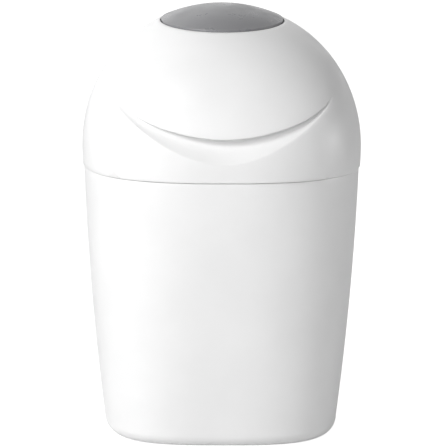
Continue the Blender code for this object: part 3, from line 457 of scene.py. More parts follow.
def drawn_line(name, points):
    """A line drawn by extruding a point from corner to corner."""
    piece = start_piece(name, bpy.ops.mesh.primitive_plane_add, size=0.001, location=points[0])
    open_mesh()
    bpy.ops.mesh.merge(type="CENTER")
    for here, there in zip(points, points[1:]):
        bpy.ops.mesh.extrude_region_move(TRANSFORM_OT_translate={"value": Vector(there) - Vector(here)})
    bpy.ops.mesh.select_all(action="SELECT")
    bpy.ops.mesh.remove_doubles(threshold=0.000002)
    bpy.ops.object.mode_set(mode="OBJECT")
    return piece


def plate(name, outline, depth, placement, ease=0.0):
    """A flat outline given depth on both sides of its plane, then put in place."""
    points = [Vector((x, y, -depth / 2)) for x, y in outline]
    piece = drawn_line(name, points + points[:1])
    open_mesh()
    bpy.ops.mesh.edge_face_add()
    bpy.ops.mesh.extrude_region_move(TRANSFORM_OT_translate={"value": (0, 0, depth)})
    bpy.ops.object.mode_set(mode="OBJECT")
    piece.data.transform(placement)
    return ease_edges(piece, ease) if ease else close_up(piece)


def hinge_knuckle(name, from_angle, to_angle, web, low, high):
    """A barrel with its web, bored for the pin. Its outline lies in the (Y, Z) plane."""
    across = Matrix(((0, 0, 1, 0), (1, 0, 0, 0), (0, 1, 0, 0), (0, 0, 0, 1)))
    turns = [from_angle + (to_angle - from_angle) * i / 28 for i in range(29)]
    arc = [(hinge_y + knuckle_radius * cos(t), hinge_z + knuckle_radius * sin(t)) for t in turns]
    knuckle = plate(name, arc + web, high - low, Matrix.Translation(((low + high) / 2, 0, 0)) @ across)
    bore = rod("bore", pin_radius + seat_gap, low - 0.002, high + 0.002)
    bore.data.transform(along_hinge)
    return ease_edges(cut_away(knuckle, bore), 0.0003)


def rings_of(columns, rows):
    """Rings round the axis from rows of (reach, height), where a reach may vary with the angle."""
    angles = even_angles(columns)
    rings = []
    for reach, height in rows:
        reaches = [reach(a) if callable(reach) else reach for a in angles]
        rings.append([at_angle(a, radius, height) for a, radius in zip(angles, reaches)])
    return rings


def square(half_width):
    """The reach of a rounded square like the tub's rim."""
    return lambda angle: square_reach(angle, half_width, rim_squareness)


def guide_channel(far_end):
    """The room that the cutter slides in, to be cut out of what stands round it."""
    return block("channel", (-0.0086, -0.0835, channel_low), (0.0086, far_end, channel_high), 0)


def cutter_guide():
    """A square sleeve on the throat's front that the cutter slides in."""
    half, wall = 0.0108, 0.0022
    inner_end = sqrt(throat_radius**2 - half**2) + head_wall / 2
    bottom, top = (-half, -0.0795, channel_low - wall), (half, -inner_end, channel_high + wall)
    return cut_away(block("cutter_guide", bottom, top, 0.0006), guide_channel(-inner_end + 0.002))


def make_head():
    skirt_top, skirt_low, skirt_bottom = 0.1305, 0.1295, 0.2483
    collar_top, ledge = 0.2391, 0.0541
    well_outer = head_well + head_wall
    rings = rings_of(160, [
        (square(flange_half), deck_top), (square(0.1235), deck_top),
        (square(0.1229), deck_top - 0.0004), (square(0.1221), deck_top - 0.0004),
        (square(0.1215), deck_top), (head_well + 0.0012, deck_top), (head_well, deck_top - 0.0012),
        (head_well, head_floor_top + 0.0015), (head_well - 0.0015, head_floor_top),
        (collar_radius + 0.0012, head_floor_top), (collar_radius, head_floor_top + 0.0006),
        (collar_radius, collar_top), (throat_radius, collar_top),
        (throat_radius, throat_bottom + head_wall), (ledge, throat_bottom + head_wall),
        (ledge, throat_bottom), (collar_radius, throat_bottom), (collar_radius, head_floor_bottom),
        (well_outer - 0.002, head_floor_bottom), (well_outer, head_floor_bottom + 0.002),
        (well_outer, deck_bottom), (square(skirt_top - head_wall), deck_bottom),
        (square(skirt_low - head_wall), skirt_bottom), (square(skirt_low), skirt_bottom),
        (square(skirt_top), deck_bottom), (square(flange_half), deck_bottom),
    ])
    head = skin_of_rings("head_moulding", rings + rings[:1])
    head = ease_edges(cut_away(head, guide_channel(-throat_radius + 0.004)), 0.0004)
    parts = [cutter_guide()]
    root, upper, lower = flange_half - 0.008, deck_top - 0.0003, deck_bottom + 0.0003
    top_angle = pi - asin((upper - hinge_z) / knuckle_radius)
    bottom_angle = -pi - asin((lower - hinge_z) / knuckle_radius)
    web = [(root, upper), (root, lower)]
    for i, (low, high) in enumerate(((-0.044, -0.03), (-0.007, 0.007), (0.03, 0.044))):
        parts.append(hinge_knuckle(f"head_knuckle_{i}", bottom_angle, top_angle, web, low, high))
    hook = 0.1004, head_well + 0.001, 0.012, 0.2437, 0.2467, 0.0008
    parts += [radial_block(f"ring_hook_{i}", 2 * pi * i / 3, *hook) for i in range(3)]
    post = 0.1037, 0.1057, 0.0055, head_floor_top - 0.001, 0.2431, 0.0005
    parts.append(radial_block("click_post", pi + radians(27), *post))
    return joined(head, *parts)


off_white = (0.80, 0.81, 0.82)
inner_moulding = moulding_finish("inner_moulding", off_white, 0.46, 1300.0, 0.00003, Rubs=0.15, Edge_Wear=0.1)
fit(make_head(), inner_moulding, "head", "inner_plastic", "head_housing")


# Hinge pin: the steel pin that the lid swings on. It is drawn wire, cut to length and chamfered at
# both ends, and pushed through the knuckles of the head and the lid.


def two_tones(tree, value, low, high, start=0.0, end=1.0):
    """A blend from one colour to another, between two values of a pattern."""
    blend = add_node(tree, "ShaderNodeValToRGB", {"Fac": value})
    for stop, place, colour in zip(blend.color_ramp.elements, (start, end), (low, high)):
        stop.position, stop.color = place, (*colour, 1)
    return blend.outputs["Color"]


def drawn_steel():
    """Drawn steel: streaks along the wire, faint clouds of tarnish and a little oil haze."""
    finish, tree = new_finish("drawn_steel")
    spot = add_node(tree, "ShaderNodeTexCoord").outputs["Object"]
    streaks, clouds = noise(tree, spot, 900.0, 3.0), noise(tree, spot, 70.0, 4.0)
    tone = two_tones(tree, clouds, (0.46, 0.45, 0.44), (0.62, 0.62, 0.63), 0.35, 0.7)
    shine = ranged(tree, streaks, 0, 1, 0.2, 0.38)
    surface(tree, Base_Color=tone, Metallic=1, Roughness=shine, Normal=bump(tree, streaks, 0.00001))
    return finish


steel = drawn_steel()
pin = rod("hinge_pin_wire", pin_radius, -0.044, 0.044, 40, 0.0003)
pin.data.transform(along_hinge)
fit(pin, steel, "head", "steel", "hinge_pin")


# Lid seal: a soft ring in a groove of the deck, with a raised bead that the liner's foot meets.
# Moulded in one from a matt grey rubber that picks up dust.


def section_spun(name, section, steps, rounding=0.0003, sharp=30.0):
    """A turned piece: its section of (radius, height) is drawn, its corners are rounded, and it is
    spun round the axis. A section that starts on the axis also ends on it."""
    path = section if section[0][0] == 0 else section + section[:1]
    piece = drawn_line(name, [(radius, 0, height) for radius, height in path])
    corners = []
    for before, corner, after in zip(path[-2:-1] + path, path, path[1:] + path[1:2]):
        into = Vector((corner[0] - before[0], corner[1] - before[1]))
        out = Vector((after[0] - corner[0], after[1] - corner[1]))
        if corner[0] > 0 and into.length and out.length and into.angle(out) > radians(28):
            corners.append(Vector((corner[0], 0, corner[1])))
    for vertex in piece.data.vertices:
        vertex.select = any((vertex.co - corner).length < 0.00001 for corner in corners)
    bpy.ops.object.mode_set(mode="EDIT")
    if rounding and corners:
        bpy.ops.mesh.bevel(offset=rounding, segments=3, affect="VERTICES", clamp_overlap=True)
    bpy.ops.mesh.select_all(action="SELECT")
    bpy.ops.mesh.spin(steps=steps, angle=2 * pi, center=(0, 0, 0), axis=(0, 0, 1))
    bpy.ops.object.mode_set(mode="OBJECT")
    return close_up(piece, sharp)


seal_inner, seal_outer = 0.11565, 0.12065
seal_low, seal_high = 0.2651, 0.2674
seal_section = [
    (seal_inner, seal_low), (seal_inner, seal_low + 0.0009),
    (seal_inner + 0.0009, seal_low + 0.0012), (seal_inner + 0.0015, seal_high - 0.0003),
    (seal_inner + 0.0025, seal_high), (seal_inner + 0.0035, seal_high - 0.0003),
    (seal_outer - 0.0009, seal_low + 0.0012), (seal_outer, seal_low + 0.0009),
    (seal_outer, seal_low),
]
dark_grey = (0.30, 0.31, 0.32)
seal_rubber = moulding_finish("seal_rubber", dark_grey, 0.72, 900.0, 0.00004, Tone=0.08, Haze=0.14, Rubs=0.1)
fit(section_spun("seal_ring", seal_section, 144, 0.0002), seal_rubber, "head", "seal_rubber", "lid_seal")


# Gripper ring: eight soft fingers that bend down as a nappy passes and then hold it. Moulded in a
# flexible grey plastic and dropped onto the throat's ledge.


def carried(piece, angle, radius):
    """Carries a finished piece out from the bin's axis."""
    piece.data.transform(Matrix.Translation(at_angle(angle, radius)))
    return piece


def make_gripper():
    outer, inner, tip = 0.0585, 0.0535, 0.1919
    rim_low, rim_high, mouth, skin = 0.2066, 0.2106, 0.028, 0.0016
    section = [
        (inner - skin, rim_high), (outer, rim_high), (outer, rim_low), (inner - 0.0006, rim_low),
        (mouth + 0.008, tip + 0.0028), (mouth, tip), (mouth - skin, tip + skin),
        (mouth + 0.0066, tip + 0.0028 + skin), (inner - 0.005, rim_low + skin),
    ]
    ring = section_spun("gripper_fingers", section, 128, 0.0004)
    slots = []
    for i in range(8):
        angle, low, high = 2 * pi * i / 8, tip - 0.004, rim_high + 0.004
        slots.append(radial_block(f"finger_slot_{i}", angle, 0.014, 0.0465, 0.004, low, high, 0))
        slots.append(carried(rod(f"slot_end_{i}", 0.003, low, high, 24), angle, 0.0458))
    return ease_edges(cut_away(ring, *slots), 0.00025, 50)


pale_grey = (0.42, 0.44, 0.46)
soft_grey = moulding_finish("soft_grey", pale_grey, 0.6, 1100.0, 0.00004, Tone=0.05, Haze=0.1, Rubs=0.2)
fit(make_gripper(), soft_grey, "head", "soft_plastic", "gripper_ring")


# Twist ring: the cup that turns the cassette. A grey moulding with 24 saw teeth round its foot,
# a scalloped grip round its top and four pegs that drive the cassette. It drops in under hooks.

cup_bottom = 0.2366
cup_floor_top = 0.2391
cup_inner = 0.0948
cup_outer = 0.0973
tooth_root, tooth_tip, tooth_top = 0.0983, 0.1018, 0.2431
grip_low, grip_high = 0.266, 0.2755
peg_circle = 0.07815


def scalloped(inset=0.0):
    return lambda angle: cup_inner + 0.008 + 0.0018 * cos(12 * angle) - inset


def saw_tooth(angle):
    slope, drop = 0.8, 0.2
    share = (angle / (2 * pi / 24) + 0.0001) % 1
    if share < slope:
        return tooth_root + (tooth_tip - tooth_root) * share / slope
    return tooth_tip - (tooth_tip - tooth_root) * (share - slope) / drop


def make_twist_ring():
    rings = rings_of(240, [
        (0.0625, cup_bottom), (0.0625, cup_floor_top), (cup_inner - 0.0012, cup_floor_top),
        (cup_inner, cup_floor_top + 0.0012), (cup_inner, grip_high - 0.0008),
        (cup_inner + 0.0008, grip_high), (scalloped(0.0016), grip_high),
        (scalloped(0.0005), grip_high - 0.0005), (scalloped(), grip_high - 0.0016),
        (scalloped(), grip_low + 0.0012), (scalloped(0.001), grip_low),
        (cup_outer + 0.0009, grip_low), (cup_outer, grip_low - 0.0008), (cup_outer, tooth_top),
        (saw_tooth, tooth_top), (saw_tooth, cup_bottom),
    ])
    cup = ease_edges(skin_of_rings("twist_cup", rings + rings[:1], 35), 0.0003, 40)
    side = [(0, 0.2378), (0.0025, 0.2378), (0.0025, 0.2421), (0, 0.2421)]
    pegs = [section_spun(f"drive_peg_{i}", side, 32, 0.0006) for i in range(4)]
    pegs = [carried(peg, pi / 2 * i, peg_circle) for i, peg in enumerate(pegs)]
    return joined(cup, *pegs)


grey_satin = moulding_finish("grey_satin", (0.24, 0.24, 0.25), 0.33, Tone=0.04, Rubs=0.12, Edge_Wear=0.15)
fit(make_twist_ring(), grey_satin, "ring", "grey_plastic", "twist_ring")


# Click spring: a leaf of spring steel, pinched between the head's wall and its post, whose bent
# nose drops between the ring's teeth. Blanked from strip and folded.


def make_click_spring():
    nose, end, root = pi + radians(1.2), pi + radians(24), pi + radians(30)
    wall, tip, leaf = 0.10579, tooth_root + 0.001, 0.0008
    inner = [(root + (end - root) * i / 6, wall) for i in range(7)]
    for i in range(1, 31):
        share = i / 30
        inner.append((end + (nose - end) * share, wall + (tip - wall) * share))
    path = [at_angle(angle, radius) for angle, radius in inner]
    back = [at_angle(angle, radius + leaf) for angle, radius in inner[::-1]]
    outline = [(p.x, p.y) for p in path + back]
    return plate("click_leaf", outline, 0.005, Matrix.Translation((0, 0, 0.23985)), 0.00015)


fit(make_click_spring(), steel, "head", "steel", "click_spring")


# Cassette body: the open ring-shaped box that the film is packed in, with four holes for the
# ring's pegs. Moulded in thin pale green plastic, and thrown away when it is empty.

cassette_bottom = 0.2394
cassette_bore, cassette_tube, cassette_outer = 0.056, 0.058, 0.0938
cassette_top = 0.2877
cassette_wall_top = 0.2834
cassette_skin = 0.002


def make_cassette_body():
    rim = cassette_outer - cassette_skin
    floor_top = cassette_bottom + cassette_skin
    section = [
        (cassette_bore, cassette_top - 0.0006), (cassette_bore + 0.0004, cassette_top),
        (cassette_tube - 0.0004, cassette_top), (cassette_tube, cassette_top - 0.0006),
        (cassette_tube, floor_top + 0.001), (cassette_tube + 0.001, floor_top),
        (rim - 0.001, floor_top), (rim, floor_top + 0.001), (rim, cassette_wall_top),
        (cassette_outer, cassette_wall_top), (cassette_outer, cassette_bottom + 0.0012),
        (cassette_outer - 0.0012, cassette_bottom), (cassette_bore, cassette_bottom),
    ]
    body = section_spun("cassette_box", section, 144)
    holes = []
    for i in range(4):
        hole = rod(f"peg_hole_{i}", 0.0031, cassette_bottom - 0.002, floor_top + 0.002)
        holes.append(carried(turned_round(hole, 0.05), pi / 2 * i, peg_circle))
    return cut_away(body, *holes)


cassette_green = moulding_finish("cassette_green", (0.62, 0.72, 0.60), 0.42, 1500.0, Tone=0.03, Rubs=0.15)
fit(make_cassette_body(), cassette_green, "cassette", "cassette_plastic", "cassette_body")


# Film: a long sleeve of thin barrier film. Most of it is gathered in close pleats in the cassette,
# and its end comes up through the slot, over the tube and down the bore to its knot.


def crinkled_film():
    """Thin milky film: pleats and creases in the bump, shinier where it is stretched."""
    finish, tree = new_finish("milky_film")
    spot = add_node(tree, "ShaderNodeTexCoord").outputs["Object"]
    drawn = add_node(tree, "ShaderNodeMapping", {"Vector": spot, "Scale": (1.0, 1.0, 0.3)}).outputs[0]
    cells = {"Vector": drawn, "Scale": 160.0}
    creases = add_node(tree, "ShaderNodeTexVoronoi", cells, feature="DISTANCE_TO_EDGE").outputs["Distance"]
    fine = noise(tree, drawn, 420.0, 4.0)
    creased = bump(tree, sums(tree, "ADD", creases, fine), 0.0003)
    tone = two_tones(tree, fine, (0.72, 0.78, 0.70), (0.88, 0.91, 0.86))
    surface(tree, Base_Color=tone, Roughness=ranged(tree, fine, 0, 1, 0.2, 0.4), Normal=creased)
    return finish


def make_film_pack():
    low, high, inner, outer = 0.2421, 0.2773, 0.0605, 0.0868
    folds, depth = 32, 0.0026
    steps = [(depth * (i % 2), (high - low) * i / folds) for i in range(folds + 1)]
    section = [(outer - deep, high - step) for deep, step in steps]
    section += [(inner + deep, low + step) for deep, step in steps]
    pack = section_spun("film_pleats", section, 160, 0, 80)
    for vertex in pack.data.vertices:
        angle = atan2(vertex.co.x, -vertex.co.y)
        swell = 0.0004 * sin(9 * angle + vertex.co.z * 900)
        swell += 0.0003 * sin(23 * angle - vertex.co.z * 1400)
        reach = hypot(vertex.co.x, vertex.co.y)
        vertex.co.xy *= 1 + swell / reach
    rooms = [rod(f"peg_room_{i}", 0.0034, low - 0.003, 0.2428) for i in range(4)]
    return cut_away(pack, *[carried(room, pi / 2 * i, peg_circle) for i, room in enumerate(rooms)])


film_path = [
    (0.0600, 0.2792, 0.0003), (0.0598, 0.2830, 0.0003), (0.0596, 0.2858, 0.0003),
    (0.0592, 0.2876, 0.0002), (0.0583, 0.2885, 0.0001), (0.0570, 0.2887, 0.0001),
    (0.0558, 0.2881, 0.0001), (0.0553, 0.2865, 0.0002), (0.0551, 0.2800, 0.0004),
    (0.0550, 0.2700, 0.0005), (0.0549, 0.2600, 0.0006), (0.0547, 0.2500, 0.0007),
    (0.0538, 0.2420, 0.0010), (0.0488, 0.2340, 0.0015), (0.0418, 0.2265, 0.0019),
    (0.0362, 0.2195, 0.0023), (0.0300, 0.2130, 0.0025), (0.0236, 0.2075, 0.0023),
    (0.0170, 0.2030, 0.0019), (0.0100, 0.1995, 0.0014), (0.0055, 0.1965, 0.0009),
    (0.0045, 0.1935, 0.0008), (0.0062, 0.1905, 0.0012), (0.0085, 0.1880, 0.0018),
]


def make_film_sleeve():
    """The free end of the sleeve, gathered tighter towards its knot, below which it flares."""
    columns = 224
    rings = []
    for row, (radius, height, depth) in enumerate(film_path):
        ring = []
        for a in even_angles(columns):
            fold = sin(28 * a + 0.25 * row) + 0.35 * sin(13 * a - 0.4 * row)
            ring.append(at_angle(a, radius + depth * fold / 1.35, height + 0.2 * depth * cos(7 * a)))
        rings.append(ring)
    sleeve = skin_of_rings("film_sleeve", rings, 180)
    shape_by(sleeve, "SOLIDIFY", thickness=0.00018, offset=0)
    return close_up(sleeve, 180, 0.0000002)


milky_film = crinkled_film()
fit(make_film_pack(), milky_film, "cassette", "film", "film_pack")
fit(make_film_sleeve(), milky_film, "cassette", "film")


# Cassette cap: the ring that closes the cassette over the film and leaves the slot round the
# tube. The same pale green plastic, pushed into the wall by its skirt.


def make_cassette_cap():
    low, top, slot_edge = 0.2837, 0.2857, 0.0614
    skirt = cassette_outer - cassette_skin - seat_gap
    section = [
        (slot_edge, top), (slot_edge + 0.0022, top), (slot_edge + 0.0030, top - 0.0006),
        (slot_edge + 0.0042, top - 0.0006), (slot_edge + 0.0050, top),
        (cassette_outer - 0.0008, top), (cassette_outer, top - 0.0008), (cassette_outer, low),
        (skirt, low), (skirt, low - 0.0034), (skirt - 0.0006, low - 0.004),
        (skirt - 0.002, low - 0.004), (skirt - 0.002, low), (slot_edge, low),
    ]
    cap = section_spun("cassette_cover", section, 144)
    rib = 0.0675, 0.0905, 0.0012, low + 0.001, top + 0.0004, 0.0002
    return joined(cap, *[radial_block(f"cap_rib_{i}", 2 * pi * (i + 0.5) / 12, *rib) for i in range(12)])


fit(make_cassette_cap(), cassette_green, "cassette", "cassette_plastic", "cassette_cap")


# Cutter: a sprung slide in the head's front with a slanted steel blade, pushed in by its button
# to cut the film. The slide is moulded in soft grey, and its coil spring stands round the button.


def make_cutter_slide():
    low, high = cutter_height - 0.00225, cutter_height + 0.00225
    near = 0.0937
    bar = block("cutter_slide", (-0.008, -near - 0.0015, low), (0.008, -0.0567, high), 0.0005)
    stop = block("cutter_stop", (-0.0098, -0.0577, low), (0.0098, -0.0557, high), 0.0004)
    face = [(0, 0), (0.0085, 0.0007), (0.0105, 0.0002), (0.0125, 0.0007), (0.0125, 0.003), (0, 0.003)]
    button = section_spun("cutter_face", face, 64, 0.0004)
    spot = Matrix.Translation((0, -near - 0.003, cutter_height))
    button.data.transform(spot @ Matrix.Rotation(-pi / 2, 4, "X"))
    return joined(bar, stop, button)


def make_cutter_blade():
    outline = [(-0.0065, -0.0732), (0.0065, -0.0732), (0.0065, -0.0632), (-0.0065, -0.0572)]
    blade = plate("cutter_edge", outline, 0.0008, Matrix.Translation((0, 0, 0.22385)))
    open_mesh("DESELECT")
    bpy.ops.object.mode_set(mode="OBJECT")
    for edge in blade.data.edges:
        ends = [blade.data.vertices[i].co for i in edge.vertices]
        edge.select = all(end.y > -0.0635 for end in ends) and min(end.z for end in ends) > 0.2240
    bpy.ops.object.mode_set(mode="EDIT")
    bpy.ops.mesh.select_mode(type="EDGE")
    bpy.ops.mesh.bevel(offset=0.0006, segments=1, affect="EDGES")
    bpy.ops.mesh.select_mode(type="VERT")
    bpy.ops.object.mode_set(mode="OBJECT")
    return close_up(blade)


def coil(name, radius, wire, turns, low, high):
    """A compression spring: a ring of wire carried round the axis, its end turns closed up."""
    pitch = (high - low - 2 * wire) / turns
    place = {"vertices": 10, "radius": wire, "location": (radius, 0, 0), "rotation": (pi / 2, 0, 0)}
    spring = start_piece(name, bpy.ops.mesh.primitive_circle_add, **place)
    carry = {"screw_offset": pitch, "iterations": turns, "steps": 32, "render_steps": 32}
    shape_by(spring, "SCREW", use_merge_vertices=False, **carry)
    closed = 0.75
    free = turns - 2 * closed
    tight = 2.15 * wire * closed
    for vertex in spring.data.vertices:
        part = (atan2(vertex.co.y, vertex.co.x) / (2 * pi)) % 1
        count = round(vertex.co.z / pitch - part) + part
        within = vertex.co.z - count * pitch
        if count < closed:
            height = tight * count / closed
        elif count > turns - closed:
            height = turns * pitch - tight * (turns - count) / closed
        else:
            height = tight + (turns * pitch - 2 * tight) * (count - closed) / free
        vertex.co.z = low + wire + height + within
    open_mesh("DESELECT")
    bpy.ops.mesh.select_non_manifold()
    bpy.ops.mesh.edge_face_add()
    bpy.ops.object.mode_set(mode="OBJECT")
    return close_up(spring)


cutter_coil = coil("cutter_coil", 0.0104, 0.0004, 2, 0.0798, 0.0934)
cutter_coil.data.transform(Matrix.Translation((0, 0, cutter_height)) @ Matrix.Rotation(pi / 2, 4, "X"))
fit(make_cutter_slide(), soft_grey, "cutter", "soft_plastic", "cutter_slider")
fit(make_cutter_blade(), steel, "cutter", "steel", "cutter_blade")
fit(cutter_coil, steel, "head", "steel", "cutter_spring")
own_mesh(cutter_coil)


# Lid shell: the white dome with a finger scoop under its curved lip. One moulding, with bosses
# inside for eight screws, and a notch and two knuckles for the hinge at its back edge.

dome_radius = 0.136
dome_centre_height = 0.2806
lid_edge_height = 0.26235
lid_edge_round = 0.0004
lid_edge_half = 0.1355
lid_skirt_height = 0.0181
lid_skirt_flare = 0.0005
lid_wall = 0.0024
lip_rise_front = 0.0241
lip_rise_side = 0.0347
lip_bend = 1.79
lip_round = 0.0009
scoop_height = 0.0242
scoop_height_fade = 1.94
scoop_depth = 0.011
scoop_depth_fade = 1.15
scoop_floor_bend = 0.88
scoop_wall = 0.0026
scoop_half_angle = radians(52.4)
crease_height = 0.004
crease_spread = 0.03
opening_radius = 0.0602
opening_round = 0.0007
plunger_lean = radians(4)
lid_columns = 192
lid_sharp = 62.0
dome_centre = Matrix.Translation((0, 0, dome_centre_height))
lean = dome_centre @ Matrix.Rotation(plunger_lean, 4, "X") @ dome_centre.inverted()


def dome_half(height, inset):
    radius = dome_radius - inset
    if height >= dome_centre_height:
        return sqrt(max(0, radius**2 - (height - dome_centre_height) ** 2))
    return radius - lid_skirt_flare * ((dome_centre_height - height) / lid_skirt_height) ** 2


def dome_point(angle, height, inset, sunk=0.0):
    """A point of the lid's outer face, or of a face inset from it, or sunk below it."""
    rise = max(0, height - dome_centre_height)
    share = min(1, rise / sqrt((dome_radius - inset) ** 2 - opening_radius**2))
    squareness = 2 + (rim_squareness - 2) * (1 - share**2)
    return at_angle(angle, square_reach(angle, dome_half(height, inset), squareness) - sunk, height)


def scoop_share(angle):
    return min(1, min(angle, 2 * pi - angle) / scoop_half_angle)


def lip_height(angle):
    return dome_centre_height + lip_rise_front + lip_rise_side * scoop_share(angle) ** lip_bend


def scoop_bottom(angle):
    faded = scoop_height * (1 - scoop_share(angle) ** 2) ** scoop_height_fade
    past = max(0, min(angle, 2 * pi - angle) / scoop_half_angle - 1)
    return lip_height(angle) - hypot(faded, crease_height + crease_spread * past)


def scoop_section(angle, inset, steps):
    """Drops below the lip and depths at an angle: the lip's rounding, the hollow wall under it and
    the floor that runs out to the dome again."""
    deepest = scoop_depth * (1 - scoop_share(angle) ** 2) ** scoop_depth_fade
    end = max(lip_height(angle) - scoop_bottom(angle), crease_height)
    edge = min(lip_round, deepest / 3)
    section = [(lip_round * sin(t), edge * (1 - cos(t))) for t in quarter(1, steps)]
    wall = min(scoop_wall, (end - lip_round) * 0.4)
    for turn in quarter(1, 2 * steps):
        section.append((lip_round + wall * (1 - cos(turn)), edge + (deepest - edge) * sin(turn)))
    start = section[-1][0]
    rows = 4 * steps
    for i in range(1, rows + 1):
        share = i / rows
        section.append((start + (end - start) * share, deepest * (1 - share) ** scoop_floor_bend))
    return [(max(0, drop - inset), depth) for drop, depth in section]


def lid_rings(inset, skirt_rows, scoop_steps, dome_rows):
    """Rings of one face of the lid, from its edge up to its opening."""
    angles = even_angles(lid_columns)
    sections = [scoop_section(a, inset, scoop_steps) for a in angles]
    lowest = [lip_height(a) - section[-1][0] for a, section in zip(angles, sections)]
    base = lid_edge_height + lid_edge_round
    rings = []
    for i in range(skirt_rows):
        heights = [base + (low - base) * i / skirt_rows for low in lowest]
        rings.append([dome_point(a, height, inset) for a, height in zip(angles, heights)])
    for row in range(len(sections[0]) - 1, -1, -1):
        ring = []
        for a, section in zip(angles, sections):
            drop, deep = section[row]
            ring.append(dome_point(a, lip_height(a) - drop, inset, deep))
        rings.append(ring)
    radius = dome_radius - inset
    end = acos((opening_radius + (opening_round if inset == 0 else 0)) / radius)
    starts = [asin((lip_height(a) - dome_centre_height) / radius) for a in angles]
    for i in range(dome_rows + 1):
        share = i / dome_rows
        heights = [dome_centre_height + radius * sin(start + (end - start) * share) for start in starts]
        turn = dome_centre @ Matrix.Rotation(plunger_lean * share, 4, "X") @ dome_centre.inverted()
        rings.append([turn @ dome_point(a, height, inset) for a, height in zip(angles, heights)])
    return rings


def leant(piece):
    """Tips a finished piece onto the plunger's line."""
    piece.data.transform(lean)
    return piece


screw_bore = 0.0021
liner_screw_circle, liner_flange_top = 0.13701, 0.271
well_screw_circle, well_lug_top = 0.0731, 0.36677


def at_corner(piece, corner, radius):
    """Carries a finished piece to one of the four corners that the screws stand at."""
    return carried(piece, pi / 4 + pi / 2 * corner, radius)


def scoop_depth_at(angle, height):
    """How deep the scoop's wall lies behind the dome at an angle and a height."""
    drop = lip_height(angle) - height
    section = scoop_section(angle, 0, 2)
    for (upper, before), (lower, after) in zip(section, section[1:]):
        if upper <= drop <= lower:
            return max(before, after)
    return 0


def height_under_dome(spot):
    """Where an upright line at a spot meets the middle of the lid's wall, the scoop's wall too."""
    angle, radius = atan2(spot.x, -spot.y) % (2 * pi), hypot(spot.x, spot.y)
    height, step = dome_centre_height, 0.0002
    while True:
        point = dome_point(angle, height, lid_wall / 2, scoop_depth_at(angle, height))
        if hypot(point.x, point.y) < radius:
            return height
        height += step


def screw_boss(name, corner, radius, base):
    """A bored boss that grows down from the dome to a flange or a lug at a height."""
    outer, top, bore_top = 0.0045, 0.4, base + 0.0126
    section = [(0, top), (outer, top), (outer, base)]
    section += [(screw_bore, base), (screw_bore, bore_top), (0, bore_top)]
    boss = at_corner(section_spun(name, section, 32, 0), corner, radius)
    for vertex in boss.data.vertices:
        if vertex.co.z > top - 0.01:
            vertex.co.z = height_under_dome(vertex.co)
    return boss


def make_lid_shell():
    outside = lid_rings(0, skirt_rows=14, scoop_steps=4, dome_rows=30)
    inside = lid_rings(lid_wall, skirt_rows=8, scoop_steps=2, dome_rows=18)
    angles = even_angles(lid_columns)
    top = dome_centre_height + sqrt(dome_radius**2 - (opening_radius + opening_round) ** 2)
    opening = []
    for turn in quarter(1, 3):
        reach = opening_radius + opening_round * (1 - sin(turn))
        height = top - opening_round * (1 - cos(turn))
        opening.append([lean @ at_angle(a, reach, height) for a in angles])
    edge = []
    for i in range(1, 8):
        turn = pi * i / 8
        height = lid_edge_height + lid_edge_round * (1 - sin(turn))
        edge.append([dome_point(a, height, lid_wall / 2 * (1 + cos(turn))) for a in angles])
    rings = outside + opening + inside[::-1] + edge
    shell = skin_of_rings("lid_moulding", rings + rings[:1], lid_sharp)
    low, high = (-0.0452, lid_edge_half - lid_wall - 0.004, 0.25), (0.0452, lid_edge_half + 0.004, 0.2681)
    shell = cut_away(shell, block("hinge_notch", low, high, 0), sharp=lid_sharp)
    parts = []
    lug_top = hinge_z + knuckle_radius + 0.009
    web = [(lid_edge_half, lug_top), (lid_edge_half - lid_wall / 2, lug_top)]
    for i, (low, high) in enumerate(((-0.0294, -0.0076), (0.0076, 0.0294))):
        parts.append(hinge_knuckle(f"lid_knuckle_{i}", -pi, radians(20), web, low, high))
    liner_foot, well_foot = liner_flange_top + seat_gap, well_lug_top + seat_gap
    for i in range(4):
        parts.append(screw_boss(f"liner_boss_{i}", i, liner_screw_circle, liner_foot))
        parts.append(leant(screw_boss(f"well_boss_{i}", i, well_screw_circle, well_foot)))
    return joined(shell, *parts)


fit(make_lid_shell(), white_moulding, "lid", "white_plastic", "lid_shell")


# Lid liner: the bowl that closes the dome from below and keeps smells in. A matt white moulding
# whose foot presses on the seal, held by four screws through its flange.

liner_bowl, liner_ceiling, liner_wall = 0.1165, 0.32063, 0.0022
liner_corner = 0.022
liner_flange_low = 0.2688


def make_lid_liner():
    def corner(reach):
        middle, centre = liner_ceiling - liner_corner, liner_bowl - liner_corner
        return [(centre + reach * cos(t), middle + reach * sin(t)) for t in quarter(0, 12)]

    flange, foot_low = square(0.13238), 0.2677
    below = [
        (flange, liner_flange_low), (0.1198, liner_flange_low), (0.1198, foot_low + 0.0004),
        (0.1194, foot_low), (liner_bowl + 0.0004, foot_low), (liner_bowl, foot_low + 0.0004),
        *corner(liner_corner), (0.078, liner_ceiling), (0.0772, liner_ceiling + 0.0005),
        (0.0762, liner_ceiling + 0.0005), (0.0754, liner_ceiling),
    ]
    hole = [
        (0.0172, liner_ceiling), (0.0166, liner_ceiling + 0.0006),
        (0.0166, liner_ceiling + liner_wall),
    ]
    above = corner(liner_corner + liner_wall)[::-1]
    above += [(liner_bowl + liner_wall, liner_flange_top), (flange, liner_flange_top)]
    rings = rings_of(160, below)
    rings += [[lean @ point for point in ring] for ring in rings_of(160, hole)]
    rings += rings_of(160, above)
    liner = skin_of_rings("liner_moulding", rings + rings[:1], 35)
    holes = [rod(f"hole_{i}", screw_bore, 0.264, 0.276, 24) for i in range(4)]
    holes = [at_corner(hole, i, liner_screw_circle) for i, hole in enumerate(holes)]
    return ease_edges(cut_away(liner, *holes), 0.0003, 50)


fit(make_lid_liner(), inner_moulding, "lid", "inner_plastic", "lid_liner")


